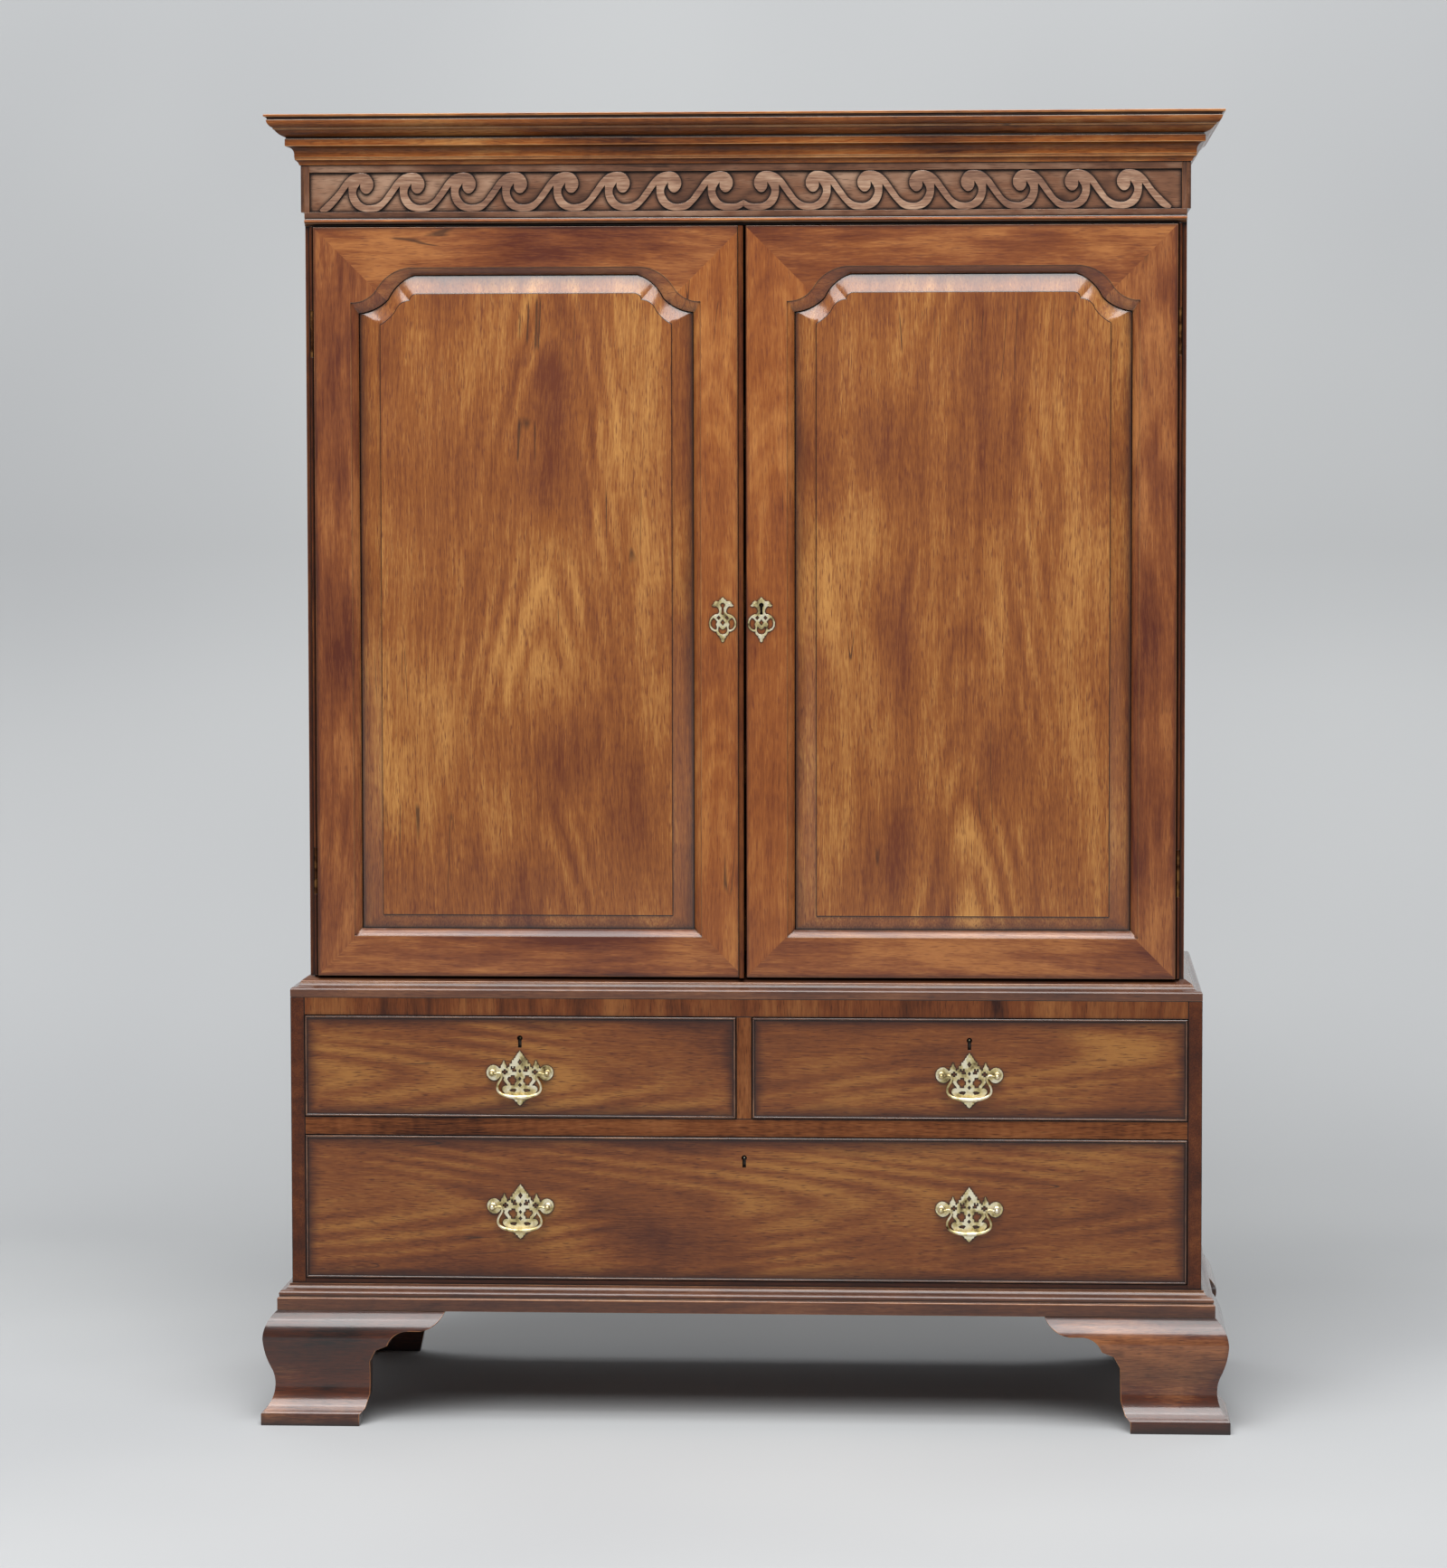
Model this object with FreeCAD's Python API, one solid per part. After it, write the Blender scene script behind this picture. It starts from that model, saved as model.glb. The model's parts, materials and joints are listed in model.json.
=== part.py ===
import FreeCAD, Part
import math
import os

V = FreeCAD.Vector

# A two-part mahogany linen press on ogee bracket feet.  Millimetres; +X is the right-hand side as
# one faces the doors, +Y goes to the back, +Z goes up.  The origin is on the floor, in the middle
# of the whole press both ways.

# ---- Lower case -------------------------------------------------------------------------------
BASE_WIDTH = 1300.0          # outside of the side boards
BASE_DEPTH = 575.0           # front edge of the side boards to the back
BASE_SIDE = 20.0             # side board
FEET_HEIGHT = 163.0          # floor to the underside of the plinth moulding
PLINTH_HEIGHT = 37.0
PLINTH_PROJECTION = 19.3
FLOOR_SHOW = 6.8             # strip of the bottom board seen above the plinth moulding
BOTTOM_BOARD = 18.0
LONG_OPENING = 207.5         # height of the long drawer's opening
SHORT_OPENING = 146.2        # height of the short drawers' openings
MID_RAIL = 25.9
TOP_RAIL = 25.6
RAIL_DEPTH = 60.0
DIVIDER = 22.0               # upright between the short drawers
DUST_TOP = 18.0              # top board of the lower case
RUNNER = 45.0                # width of a drawer runner
BACK_BOARD = 10.0            # thickness of both backs, let into rebates
BACK_REBATE = 8.0

# ---- Ogee bracket feet ------------------------------------------------------------------------
PAD_HEIGHT = 16.5            # upright edge at the bottom of a foot
FOOT_FLARE = 40.7            # projection of that edge beyond the side board
FOOT_BULGE = 38.3
FOOT_WAIST = 22.2
BRACKET_REACH = 222.4        # corner of the case to the bracket's tip
LEG_WIDTH = 115.7            # corner of the case to the inner edge of the leg
PAD_WIDTH = 100.8
GLUE_BLOCK = 45.0
REAR_BRACKET = 18.0

# ---- Waist moulding ---------------------------------------------------------------------------
WAIST_HEIGHT = 29.5
PRESS_SET_IN = 26.0          # each side of the upper case stands in from the lower one by this
PRESS_SET_BACK = 25.0        # and its front edge stands back by this

# ---- Upper case -------------------------------------------------------------------------------
PRESS_SIDE = 22.0
PRESS_BOARD = 20.0           # its top and bottom boards
FLOOR_RISE = 28.0            # its floor stands above the lower case by this
DOOR_HEIGHT = 1066.0
DOOR_GAP_BELOW = 1.6
DOOR_GAP_ABOVE = 1.9
FRIEZE_HEIGHT = 85.7
HEAD_RAIL = 20.0
FRIEZE_GROUND = 4.0          # ground of the frieze, in front of the case
FRIEZE_RELIEF = 4.0          # frame and scroll stand this much in front of the ground
FRIEZE_LAP = 5.2             # the frieze band wraps each side by this thickness
FRIEZE_STILE = 12.7
FRIEZE_TOP_STRIP = 10.2
FRIEZE_RAIL = 8.5
FRIEZE_RAIL_RISE = 11.0      # underside of the frieze to the underside of its lower rail
ASTRAGAL_PROJECTION = 12.5
CORNICE_HEIGHT = 69.8
CORNICE_BACKING = 12.0
SCROLL_MARGIN = 14.2         # ground left past the scroll's ends
SCROLL_WAVES = 8             # on each side of the middle
SCROLL_CENTRE = 31.3         # middle of the frieze to the first crest
SCROLL_TAIL = 60.6           # last crest to the scroll's pointed end

# ---- Doors ------------------------------------------------------------------------------------
DOOR_THICKNESS = 22.0
DOOR_PROUD = 9.0             # the face stands in front of the case's edge
DOOR_MARGIN = 12.5           # case's outer face to the door's outer edge
DOOR_SIDE_GAP = 1.5
DOOR_BACK_GAP = 0.3
DOOR_STILE = 52.8            # outer edge to the moulded opening
DOOR_OPENING_INNER = 61.2    # middle of the press to the moulded opening of each door
DOOR_RAIL = 57.2
LEFT_DOOR_EDGE = -0.4        # meeting edges, from the middle
RIGHT_DOOR_EDGE = 2.1
ARRIS = 2.5                  # rounding of the right door's meeting edge
STICKING = 10.4              # width of the moulding worked round the opening
SHOULDER_WIDE = 84.0         # ogee shoulder, along the rail
SHOULDER_HIGH = 49.2         # and down the stile
PANEL_PLATE = 7.0            # panel where it sits in the frame
PANEL_GROOVE = 8.0
PANEL_CLEARANCE = 0.4        # raised part of the panel to the moulding's inner edge
PANEL_BEVEL_SIDE = 41.3      # opening to the raised field, at the stiles
PANEL_BEVEL_END = 36.8       # and at the rails
FIELD_STEP = 1.4
FIELD_SUNK = 3.0             # the field lies behind the door's face by this
BEAD_WIDTH = 8.0
BEAD_PROUD = 3.5
BEAD_DEPTH = 9.5
DOOR_SWING = 120.0           # degrees, stated in the joints

# ---- Hinges -----------------------------------------------------------------------------------
KNUCKLE_RADIUS = 2.9
PIN_RADIUS = 1.3
PIN_CLEARANCE = 0.05
PIN_BORE = (PIN_RADIUS + PIN_CLEARANCE) / math.cos(math.pi / 12)   # to the corners of its 12 flats
PIN_OFFSET = 3.2             # pin's axis outside the door's edge
PIN_BACK = 2.0               # pin's axis in front of the case's edge
QUIRK_WIDTH = 6.5            # hollow beside the door that takes the knuckles
QUIRK_DEPTH = 5.0
HINGE_LEAF = 1.4
HINGE_LENGTH = 66.0
HINGE_INSET = 150.0          # door's end to the middle of the end hinges
HINGES_PER_DOOR = 2
KNUCKLE_GAP = 0.3

# ---- Locks and bolts --------------------------------------------------------------------------
LOCK_DEPTH = 10.0
LOCK_WIDTH = 60.0
LOCK_HEIGHT = 52.0
BOLT_WIDTH = 14.0
BOLT_THICK = 4.0
BOLT_LENGTH = 22.0
BOLT_CLEARANCE = 0.3
BOLT_THROW = 8.0             # stated in the joints
MORTISE_DEPTH = 10.0
KEYHOLE_RADIUS = 3.0
KEYHOLE_SLOT = 3.6
KEYHOLE_DROP = 13.5
WORN_KEYHOLE = 1.35          # drawers' keyholes to the doors', in width
DOOR_KEY_HEIGHT = 530.4      # door's bottom to the keyhole
DOOR_KEY_LEFT = -30.2        # middle of each escutcheon
DOOR_KEY_RIGHT = 24.7
SHORT_KEY_DROP = 31.0        # drawer's top edge to the keyhole
LONG_KEY_DROP = 29.0
FLUSH_BAR_WIDTH = 8.0
FLUSH_BAR_THICK = 5.0
FLUSH_BAR_LENGTH = 80.0
FLUSH_PLATE_WIDTH = 18.0
FLUSH_PLATE_THICK = 2.0
FLUSH_PLATE_LENGTH = 95.0
FLUSH_THROW = 10.0           # stated in the joints
FLUSH_KNOB_RADIUS = 2.4
FLUSH_KNOB_PROUD = 4.0
FLUSH_INSET = 20.0           # door's meeting edge to the bolt's middle

# ---- Drawers ----------------------------------------------------------------------------------
DRAWER_GAP = 1.0
DRAWER_FRONT = 20.0
DRAWER_BACK_ROOM = 35.0      # left behind the drawers
DRAWER_SIDE = 11.0
DRAWER_BACK = 11.0
DRAWER_LAP = 5.0             # wood left in front of the lapped dovetails
DRAWER_BOTTOM = 7.0
DRAWER_BOTTOM_RISE = 9.0
DRAWER_GROOVE = 5.0
DRAWER_SIDE_DROP = 6.0       # top edge of the sides below the front's
COCK_BEAD = 3.0
COCK_PROUD = 2.2
TAIL_PITCH = 60.0
TAIL_FLARE = 3.0

# ---- Pulls ------------------------------------------------------------------------------------
PULL_SPACING = 79.0          # post to post
PULL_X = 320.5               # middle of a pull from the middle of the press
SHORT_PULL_RISE = 64.5       # short drawers' opening floor to the posts
LONG_PULL_RISE = 106.0       # long drawer's opening floor to the posts
PULL_PLATE = 1.6
POST_REACH = 13.0            # face of the drawer to the bail's axis
POST_SHANK = 2.0             # half the width of its square shank
POST_COLLAR = 5.0
POST_BALL = 3.9
BAIL_END = 1.5
BAIL_CLEARANCE = 0.05
BAIL_BORE = (BAIL_END + BAIL_CLEARANCE) / math.cos(math.pi / 12)   # to the corners of its 12 flats
BAIL_PIVOT = 5.0             # length of each pivot
BAIL_NECK = 1.7
BAIL_GRIP = 3.1
BAIL_DROP = 33.0
BAIL_HALF = 31.0
NUT_HALF = 5.0
NUT_HEIGHT = 4.0

# ---- Linen trays ------------------------------------------------------------------------------
TRAYS = 4
TRAY_FIRST = 34.0            # floor of the upper case to the first tray's board
TRAY_PITCH = 240.0
TRAY_HEIGHT = 82.0
TRAY_FRONT_HEIGHT = 62.0
TRAY_WALL = 10.0
TRAY_BOARD = 8.0
TRAY_TONGUE = 8.0            # the board runs this far into the case's grooves
TRAY_RUN_GAP = 0.3
TRAY_SIDE_GAP = 1.5
TRAY_SET_BACK = 40.0         # case's front edge to the tray's front

# ---- Escutcheons ------------------------------------------------------------------------------
ESCUTCHEON = 1.4             # thickness

# ---- Places worked out from the sizes ---------------------------------------------------------
BACK = (BASE_DEPTH + FOOT_FLARE) / 2
BASE_FRONT = BACK - BASE_DEPTH
BASE_HALF = BASE_WIDTH / 2
BASE_INNER = BASE_HALF - BASE_SIDE
BASE_FLOOR = FEET_HEIGHT + PLINTH_HEIGHT + FLOOR_SHOW
LONG_TOP = BASE_FLOOR + LONG_OPENING
SHORT_FLOOR = LONG_TOP + MID_RAIL
SHORT_TOP = SHORT_FLOOR + SHORT_OPENING
BASE_TOP = SHORT_TOP + TOP_RAIL

PRESS_HALF = BASE_HALF - PRESS_SET_IN
PRESS_INNER = PRESS_HALF - PRESS_SIDE
PRESS_FRONT = BASE_FRONT + PRESS_SET_BACK
PRESS_FLOOR = BASE_TOP + FLOOR_RISE
DOOR_BOTTOM = PRESS_FLOOR + DOOR_GAP_BELOW
DOOR_TOP = DOOR_BOTTOM + DOOR_HEIGHT
FRIEZE_BOTTOM = DOOR_TOP + DOOR_GAP_ABOVE
PRESS_TOP = FRIEZE_BOTTOM + FRIEZE_HEIGHT
FRIEZE_FACE = PRESS_FRONT - FRIEZE_GROUND - FRIEZE_RELIEF
FRIEZE_HALF = PRESS_HALF + FRIEZE_LAP

SCROLL_REACH = FRIEZE_HALF - FRIEZE_STILE - SCROLL_MARGIN
SCROLL_PITCH = (SCROLL_REACH - SCROLL_CENTRE - SCROLL_TAIL) / (SCROLL_WAVES - 1)

DOOR_FACE = PRESS_FRONT - DOOR_PROUD
DOOR_BACK = DOOR_FACE + DOOR_THICKNESS
DOOR_OUTER = PRESS_HALF - DOOR_MARGIN
PIN_X = DOOR_OUTER + PIN_OFFSET
PIN_Y = PRESS_FRONT - PIN_BACK
KEY_Z = DOOR_BOTTOM + DOOR_KEY_HEIGHT


# ---- Small tools ------------------------------------------------------------------------------
def box(x0, x1, y0, y1, z0, z1):
    """A block between two opposite corners."""
    return Part.makeBox(x1 - x0, y1 - y0, z1 - z0, V(x0, y0, z0))


def rod(radius, start, end):
    """A round bar between two points."""
    run = end - start
    return Part.makeCylinder(radius, run.Length, start, run)


def ring(centre, across, up, radius, sides):
    """Corners of a regular polygon round a centre, with a flat side to the right."""
    corners = []
    for index in range(sides):
        angle = math.pi * (2 * index + 1) / sides
        corners.append(centre + across * (radius * math.cos(angle)) + up * (radius * math.sin(angle)))
    return corners


def faceted(rings):
    """A solid with flat facets that passes through rings of corners."""
    faces = [Part.Face(Part.makePolygon(end + end[:1])) for end in (rings[0], rings[-1])]
    for lower, upper in zip(rings, rings[1:]):
        for index in range(len(lower)):
            a, b = lower[index - 1], lower[index]
            c, d = upper[index], upper[index - 1]
            flat = abs((b - a).cross(c - a).dot(d - a)) < 1e-7
            facets = [[a, b, c, d, a]] if flat else [[a, b, c, a], [a, c, d, a]]
            faces += [Part.Face(Part.makePolygon(facet)) for facet in facets]
    solid = Part.Solid(Part.Shell(faces))
    if solid.Volume < 0:
        solid.reverse()
    return solid


def bar(radius, x, y, z0, z1, sides=8):
    """An upright many-sided bar."""
    across, up = V(1, 0, 0), V(0, 1, 0)
    return faceted([ring(V(x, y, z), across, up, radius, sides) for z in (z0, z1)])


def fuse(shapes):
    """One solid from pieces that overlap."""
    first, *others = shapes
    return first.fuse(others).removeSplitter() if others else first


def outline(place, start, *steps):
    """A closed wire.  A step is one point for a straight edge, or two for an arc through the first."""
    edges = []
    here = place(*start)
    for step in steps:
        there = place(*step[-1])
        if len(step) == 1:
            edges.append(Part.makeLine(here, there))
        else:
            edges.append(Part.Arc(here, place(*step[0]), there).toShape())
        here = there
    if (here - place(*start)).Length > 1e-6:
        edges.append(Part.makeLine(here, place(*start)))
    return Part.Wire(edges)


def at_depth(y):
    """Front-view points (x, z) placed at one depth."""
    return lambda x, z: V(x, y, z)


def prism(wire, along):
    """The solid that a closed wire sweeps along a vector."""
    return Part.Face(wire).extrude(along)


def mirrored(shape):
    """The same piece on the other side of the middle."""
    return shape.mirror(V(0, 0, 0), V(1, 0, 0))


def save(name, *shapes):
    """Write one node: one solid, or a group of separate ones."""
    solids = [solid for shape in shapes for solid in shape.Solids]
    for solid in solids:
        assert solid.isValid() and solid.Volume > 0, name
    whole = solids[0] if len(solids) == 1 else Part.makeCompound(solids)
    whole.exportStep(os.path.join("parts", name + ".step"))


# ---- Mouldings that run round the front and both sides ----------------------------------------
MITRE_REACH = 120.0


def mitre_keep(side, half, front):
    """The space that one length of a mitred run may fill, between its 45 degree cuts."""
    reach = MITRE_REACH
    tall = PRESS_TOP + CORNICE_HEIGHT + reach
    inner, outer = (half - reach, front + reach), (half + reach, front - reach)
    if side == "front":
        corners = [inner, outer, (-outer[0], outer[1]), (-inner[0], inner[1])]
    else:
        corners = [inner, outer, (outer[0], BACK), (inner[0], BACK)]
    plan = Part.makePolygon([V(x, y, 0) for x, y in corners + corners[:1]])
    keep = Part.Face(plan).extrude(V(0, 0, tall))
    return mirrored(keep) if side == "left" else keep


def moulding_run(start, steps, half, front, base):
    """Front, left and right lengths of a moulding.

    The profile is given by projection and height.  Projection 0 is the face that it is glued to.
    """
    reach = half + MITRE_REACH
    ahead = outline(lambda p, z: V(-reach, front - p, base + z), start, *steps)
    beside = outline(lambda p, z: V(half + p, front - MITRE_REACH, base + z), start, *steps)
    front_length = prism(ahead, V(2 * reach, 0, 0)).common(mitre_keep("front", half, front))
    right_length = prism(beside, V(0, BACK - front + MITRE_REACH, 0))
    right_length = right_length.common(mitre_keep("right", half, front))
    return front_length, mirrored(right_length), right_length


def plinth_moulding():
    """Fascia, quirk, round and hollow under the long drawer."""
    fascia, quirk, crown, fillet = PLINTH_PROJECTION, 16.4, 12.5, 3.3
    steps = [
        ((fascia, 0),),
        ((fascia, 17.4),),
        ((fascia - 1.3, 18.9),),
        ((quirk, 18.9),),
        ((quirk, 20.2),),
        ((quirk + 0.5, 24.6), (crown, 28.4)),
        ((7.2, 30.0), (4.8, 33.6)),
        ((fillet, 33.6),),
        ((fillet, PLINTH_HEIGHT),),
        ((0, PLINTH_HEIGHT),),
    ]
    return moulding_run((0, 0), steps, BASE_HALF, BASE_FRONT, FEET_HEIGHT)


def waist_moulding():
    """Upright face with a round nose, a hollow and a slope up to the upper case.

    It covers the joint between the two cases and keeps the upper one in place.
    """
    side_clear, nose = PRESS_SET_IN - 0.2, 4.5
    lengths = []
    for inset in (PRESS_SET_BACK, side_clear):
        steps = [
            ((0, 0),),
            ((0, 10.5 - nose / 2),),
            ((-1.2, 12.6), (-nose, 13.8)),
            ((-9.4, 15.0), (-12.2, 19.6)),
            ((-13.4, 19.6),),
            ((-13.4, 21.8),),
            ((-inset, WAIST_HEIGHT),),
            ((-inset, 0),),
        ]
        lengths.append(moulding_run((-inset, 0), steps, BASE_HALF, BASE_FRONT, BASE_TOP))
    return lengths[0][0], lengths[1][1], lengths[1][2]


def cornice_moulding():
    """Bed mould and cove, corona, cavetto, ovolo and top fillet, from the frieze up."""
    top = CORNICE_HEIGHT
    steps = [
        ((1.5, 0),),
        ((3.4, 4.6), (7.0, 7.2)),
        ((7.0, 10.3),),
        ((7.6, 10.3),),
        ((7.6, 15.2),),
        ((10.8, 23.0), (18.6, 26.2)),
        ((19.2, 26.2),),
        ((19.2, 36.8),),
        ((17.2, 36.8),),
        ((17.2, 38.4),),
        ((24.6, 41.4), (32.6, 48.8)),
        ((34.2, 48.8),),
        ((34.2, 51.6),),
        ((35.2, 51.6),),
        ((40.6, 56.2), (42.6, 62.4)),
        ((41.2, 62.4),),
        ((42.0, 64.8), (44.2, 66.0)),
        ((46.0, 66.0),),
        ((46.0, top),),
        ((-CORNICE_BACKING, top),),
        ((-CORNICE_BACKING, 0),),
    ]
    return moulding_run((-CORNICE_BACKING, 0), steps, FRIEZE_HALF, FRIEZE_FACE, PRESS_TOP)


# ---- Ogee bracket feet ------------------------------------------------------------------------
def foot_runs():
    """The ogee section of the feet as full mitred lengths: front, left and right."""
    steps = [
        ((FOOT_FLARE, 0),),
        ((FOOT_FLARE, PAD_HEIGHT),),
        ((FOOT_FLARE - 1.0, PAD_HEIGHT + 2.0),),
        ((31.4, 27.4), (25.6, 38.6)),
        ((FOOT_WAIST, 58.0), (27.6, 82.0)),
        ((34.6, 102.0), (FOOT_BULGE, 124.0)),
        ((32.0, 147.6), (PLINTH_PROJECTION, FEET_HEIGHT)),
        ((0, FEET_HEIGHT),),
    ]
    return moulding_run((0, 0), steps, BASE_HALF, BASE_FRONT, 0)


def bracket_outline(place):
    """Face view of a bracket: leg, cusp, flat and rounded tip, by distance from the case's corner."""
    beyond = -FOOT_FLARE - 10
    spring = 136.2
    return outline(
        place,
        (beyond, 0),
        ((PAD_WIDTH, 0),),
        ((PAD_WIDTH, PAD_HEIGHT),),
        ((PAD_WIDTH + 7.6, PAD_HEIGHT + 8.0),),
        ((LEG_WIDTH - 1.2, 44.0),),
        ((LEG_WIDTH, 92.0),),
        ((LEG_WIDTH + 8.6, 108.6),),
        ((LEG_WIDTH + 25.5, 115.5),),
        ((151.5, 130.0), (172.0, spring)),
        ((187.0, spring),),
        ((209.0, 145.5), (BRACKET_REACH, FEET_HEIGHT)),
        ((beyond, FEET_HEIGHT),),
    )


def feet():
    """Four feet: mitred ogee brackets in front, one ogee and one plain bracket behind."""
    front_run, _, right_run = foot_runs()
    reach = BASE_DEPTH
    front_cut = prism(bracket_outline(lambda s, z: V(BASE_HALF - s, BASE_FRONT - reach / 2, z)),
                      V(0, reach, 0))
    side_cut = prism(bracket_outline(lambda s, z: V(BASE_HALF - reach / 2, BASE_FRONT + s, z)),
                     V(reach, 0, 0))
    rear_cut = prism(bracket_outline(lambda s, z: V(BASE_HALF - reach / 2, BACK - s, z)),
                     V(reach, 0, 0))
    front_block = box(BASE_HALF - GLUE_BLOCK, BASE_HALF, BASE_FRONT, BASE_FRONT + GLUE_BLOCK,
                      0, FEET_HEIGHT)
    rear_block = box(BASE_HALF - GLUE_BLOCK, BASE_HALF, BACK - REAR_BRACKET - GLUE_BLOCK,
                     BACK - REAR_BRACKET, 0, FEET_HEIGHT)
    rear_board = prism(
        outline(at_depth(BACK - REAR_BRACKET), (BASE_HALF, 0), ((BASE_HALF - LEG_WIDTH, 0),),
                ((BASE_HALF - LEG_WIDTH - 15, 70.0),), ((BASE_HALF - BRACKET_REACH, FEET_HEIGHT),),
                ((BASE_HALF, FEET_HEIGHT),)),
        V(0, REAR_BRACKET, 0))
    front_right = [front_run.common(front_cut), right_run.common(side_cut), front_block]
    back_right = [right_run.common(rear_cut), rear_board, rear_block]
    save("front_right_foot", *front_right)
    save("front_left_foot", *[mirrored(piece) for piece in front_right])
    save("back_right_foot", *back_right)
    save("back_left_foot", *[mirrored(piece) for piece in back_right])


# ---- Lower case -------------------------------------------------------------------------------
def lower_case():
    """Sides, boards, back, rails and runners of the chest part."""
    rebate = box(BASE_INNER, BASE_INNER + BACK_REBATE, BACK - BACK_BOARD, BACK,
                 BASE_FLOOR - BOTTOM_BOARD, BASE_TOP)
    side = box(BASE_INNER, BASE_HALF, BASE_FRONT, BACK, FEET_HEIGHT, BASE_TOP).cut(rebate)
    save("base_side_right", side)
    save("base_side_left", mirrored(side))
    save("base_back", box(-BASE_INNER - BACK_REBATE, BASE_INNER + BACK_REBATE, BACK - BACK_BOARD,
                          BACK, BASE_FLOOR - BOTTOM_BOARD, BASE_TOP))
    bearers = [
        box(-BASE_INNER, BASE_INNER, y, y + GLUE_BLOCK, FEET_HEIGHT, BASE_FLOOR - BOTTOM_BOARD)
        for y in (BASE_FRONT, BACK - BACK_BOARD - GLUE_BLOCK)
    ]
    save("base_bottom", box(-BASE_INNER, BASE_INNER, BASE_FRONT, BACK - BACK_BOARD,
                            BASE_FLOOR - BOTTOM_BOARD, BASE_FLOOR), *bearers)
    save("base_top", box(-BASE_INNER, BASE_INNER, BASE_FRONT + RAIL_DEPTH, BACK - BACK_BOARD,
                         BASE_TOP - DUST_TOP, BASE_TOP))

    top_rail = box(-BASE_INNER, BASE_INNER, BASE_FRONT, BASE_FRONT + RAIL_DEPTH, SHORT_TOP, BASE_TOP)
    mid_rail = box(-BASE_INNER, BASE_INNER, BASE_FRONT, BASE_FRONT + RAIL_DEPTH, LONG_TOP,
                   SHORT_FLOOR)
    for drawer_middle in (-PULL_X, PULL_X):
        top_rail = top_rail.cut(rail_mortise(drawer_middle, SHORT_TOP))
    mid_rail = mid_rail.cut(rail_mortise(0, LONG_TOP))
    divider = box(-DIVIDER / 2, DIVIDER / 2, BASE_FRONT, BASE_FRONT + RAIL_DEPTH, SHORT_FLOOR,
                  SHORT_TOP)
    save("drawer_rails", top_rail, mid_rail, divider)

    behind = BASE_FRONT + RAIL_DEPTH
    rear = BACK - BACK_BOARD
    runners = []
    for middle in (-BASE_INNER + RUNNER / 2, 0, BASE_INNER - RUNNER / 2):
        runners.append(box(middle - RUNNER / 2, middle + RUNNER / 2, behind, rear, LONG_TOP,
                           SHORT_FLOOR))
        runners.append(box(middle - RUNNER / 2, middle + RUNNER / 2, behind, rear, SHORT_TOP,
                           BASE_TOP - DUST_TOP))
    runners.append(box(-DIVIDER / 2, DIVIDER / 2, behind, rear, SHORT_FLOOR,
                       SHORT_FLOOR + SHORT_OPENING / 3))
    save("drawer_runners", *runners)
    save("waist_moulding", *waist_moulding())
    save("plinth_moulding", *plinth_moulding())


def drawer_bolt_y():
    """Middle of a drawer lock's bolt, from front to back."""
    return BASE_FRONT + DRAWER_FRONT - LOCK_DEPTH / 2


def rail_mortise(x, opening_top):
    """Hole in a rail that a drawer's bolt shoots into."""
    half_width = BOLT_WIDTH / 2 + 1
    half_thick = BOLT_THICK / 2 + 1
    y = drawer_bolt_y()
    return box(x - half_width, x + half_width, y - half_thick, y + half_thick, opening_top,
               opening_top + MORTISE_DEPTH)


# ---- Upper case -------------------------------------------------------------------------------
def tray_floor(index):
    """Underside of one tray's board."""
    return PRESS_FLOOR + TRAY_FIRST + index * TRAY_PITCH


def upper_case():
    """Sides with door rebates and tray grooves, boards, back, frieze and cornice."""
    side = box(PRESS_INNER, PRESS_HALF, PRESS_FRONT, BACK, BASE_TOP, PRESS_TOP)
    rebate_side = DOOR_OUTER + DOOR_SIDE_GAP
    rebate_back = DOOR_BACK + DOOR_BACK_GAP
    cuts = [
        box(PRESS_INNER, rebate_side, PRESS_FRONT, rebate_back, PRESS_FLOOR, FRIEZE_BOTTOM),
        box(rebate_side, DOOR_OUTER + QUIRK_WIDTH, PRESS_FRONT, PRESS_FRONT + QUIRK_DEPTH,
            PRESS_FLOOR, FRIEZE_BOTTOM),
        box(PRESS_INNER, PRESS_INNER + BACK_REBATE, BACK - BACK_BOARD, BACK, PRESS_FLOOR,
            PRESS_TOP),
    ]
    for index in range(TRAYS):
        under = tray_floor(index)
        cuts.append(box(PRESS_INNER, PRESS_INNER + TRAY_TONGUE + TRAY_SIDE_GAP, rebate_back,
                        BACK - BACK_BOARD, under, under + TRAY_BOARD + TRAY_RUN_GAP))
    cuts += [hinge_leaf_space(z) for z in hinge_heights()]
    side = side.cut(cuts)
    beads = hinge_side_beads()
    save("press_side_right", side, *beads)
    save("press_side_left", mirrored(side), *[mirrored(bead) for bead in beads])

    bolt_hole = flush_bolt_hole()
    floor = box(-PRESS_INNER, PRESS_INNER, PRESS_FRONT, BACK, PRESS_FLOOR - PRESS_BOARD, PRESS_FLOOR)
    save("press_bottom", floor.cut(bolt_hole))
    top = box(-PRESS_INNER, PRESS_INNER, PRESS_FRONT + HEAD_RAIL, BACK - BACK_BOARD,
              PRESS_TOP - PRESS_BOARD, PRESS_TOP)
    head_rail = box(-PRESS_INNER, PRESS_INNER, PRESS_FRONT, PRESS_FRONT + HEAD_RAIL, FRIEZE_BOTTOM,
                    PRESS_TOP)
    cornice_inner = FRIEZE_HALF - CORNICE_BACKING
    cornice_rail = box(-cornice_inner, cornice_inner, BACK - HEAD_RAIL, BACK, PRESS_TOP,
                       PRESS_TOP + CORNICE_HEIGHT * 0.7)
    save("press_top", top, head_rail.cut(bolt_hole), cornice_rail)
    back_half = PRESS_INNER + BACK_REBATE
    save("press_back", *framed_back(back_half))
    save("cornice", *cornice_moulding())
    frieze()


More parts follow.
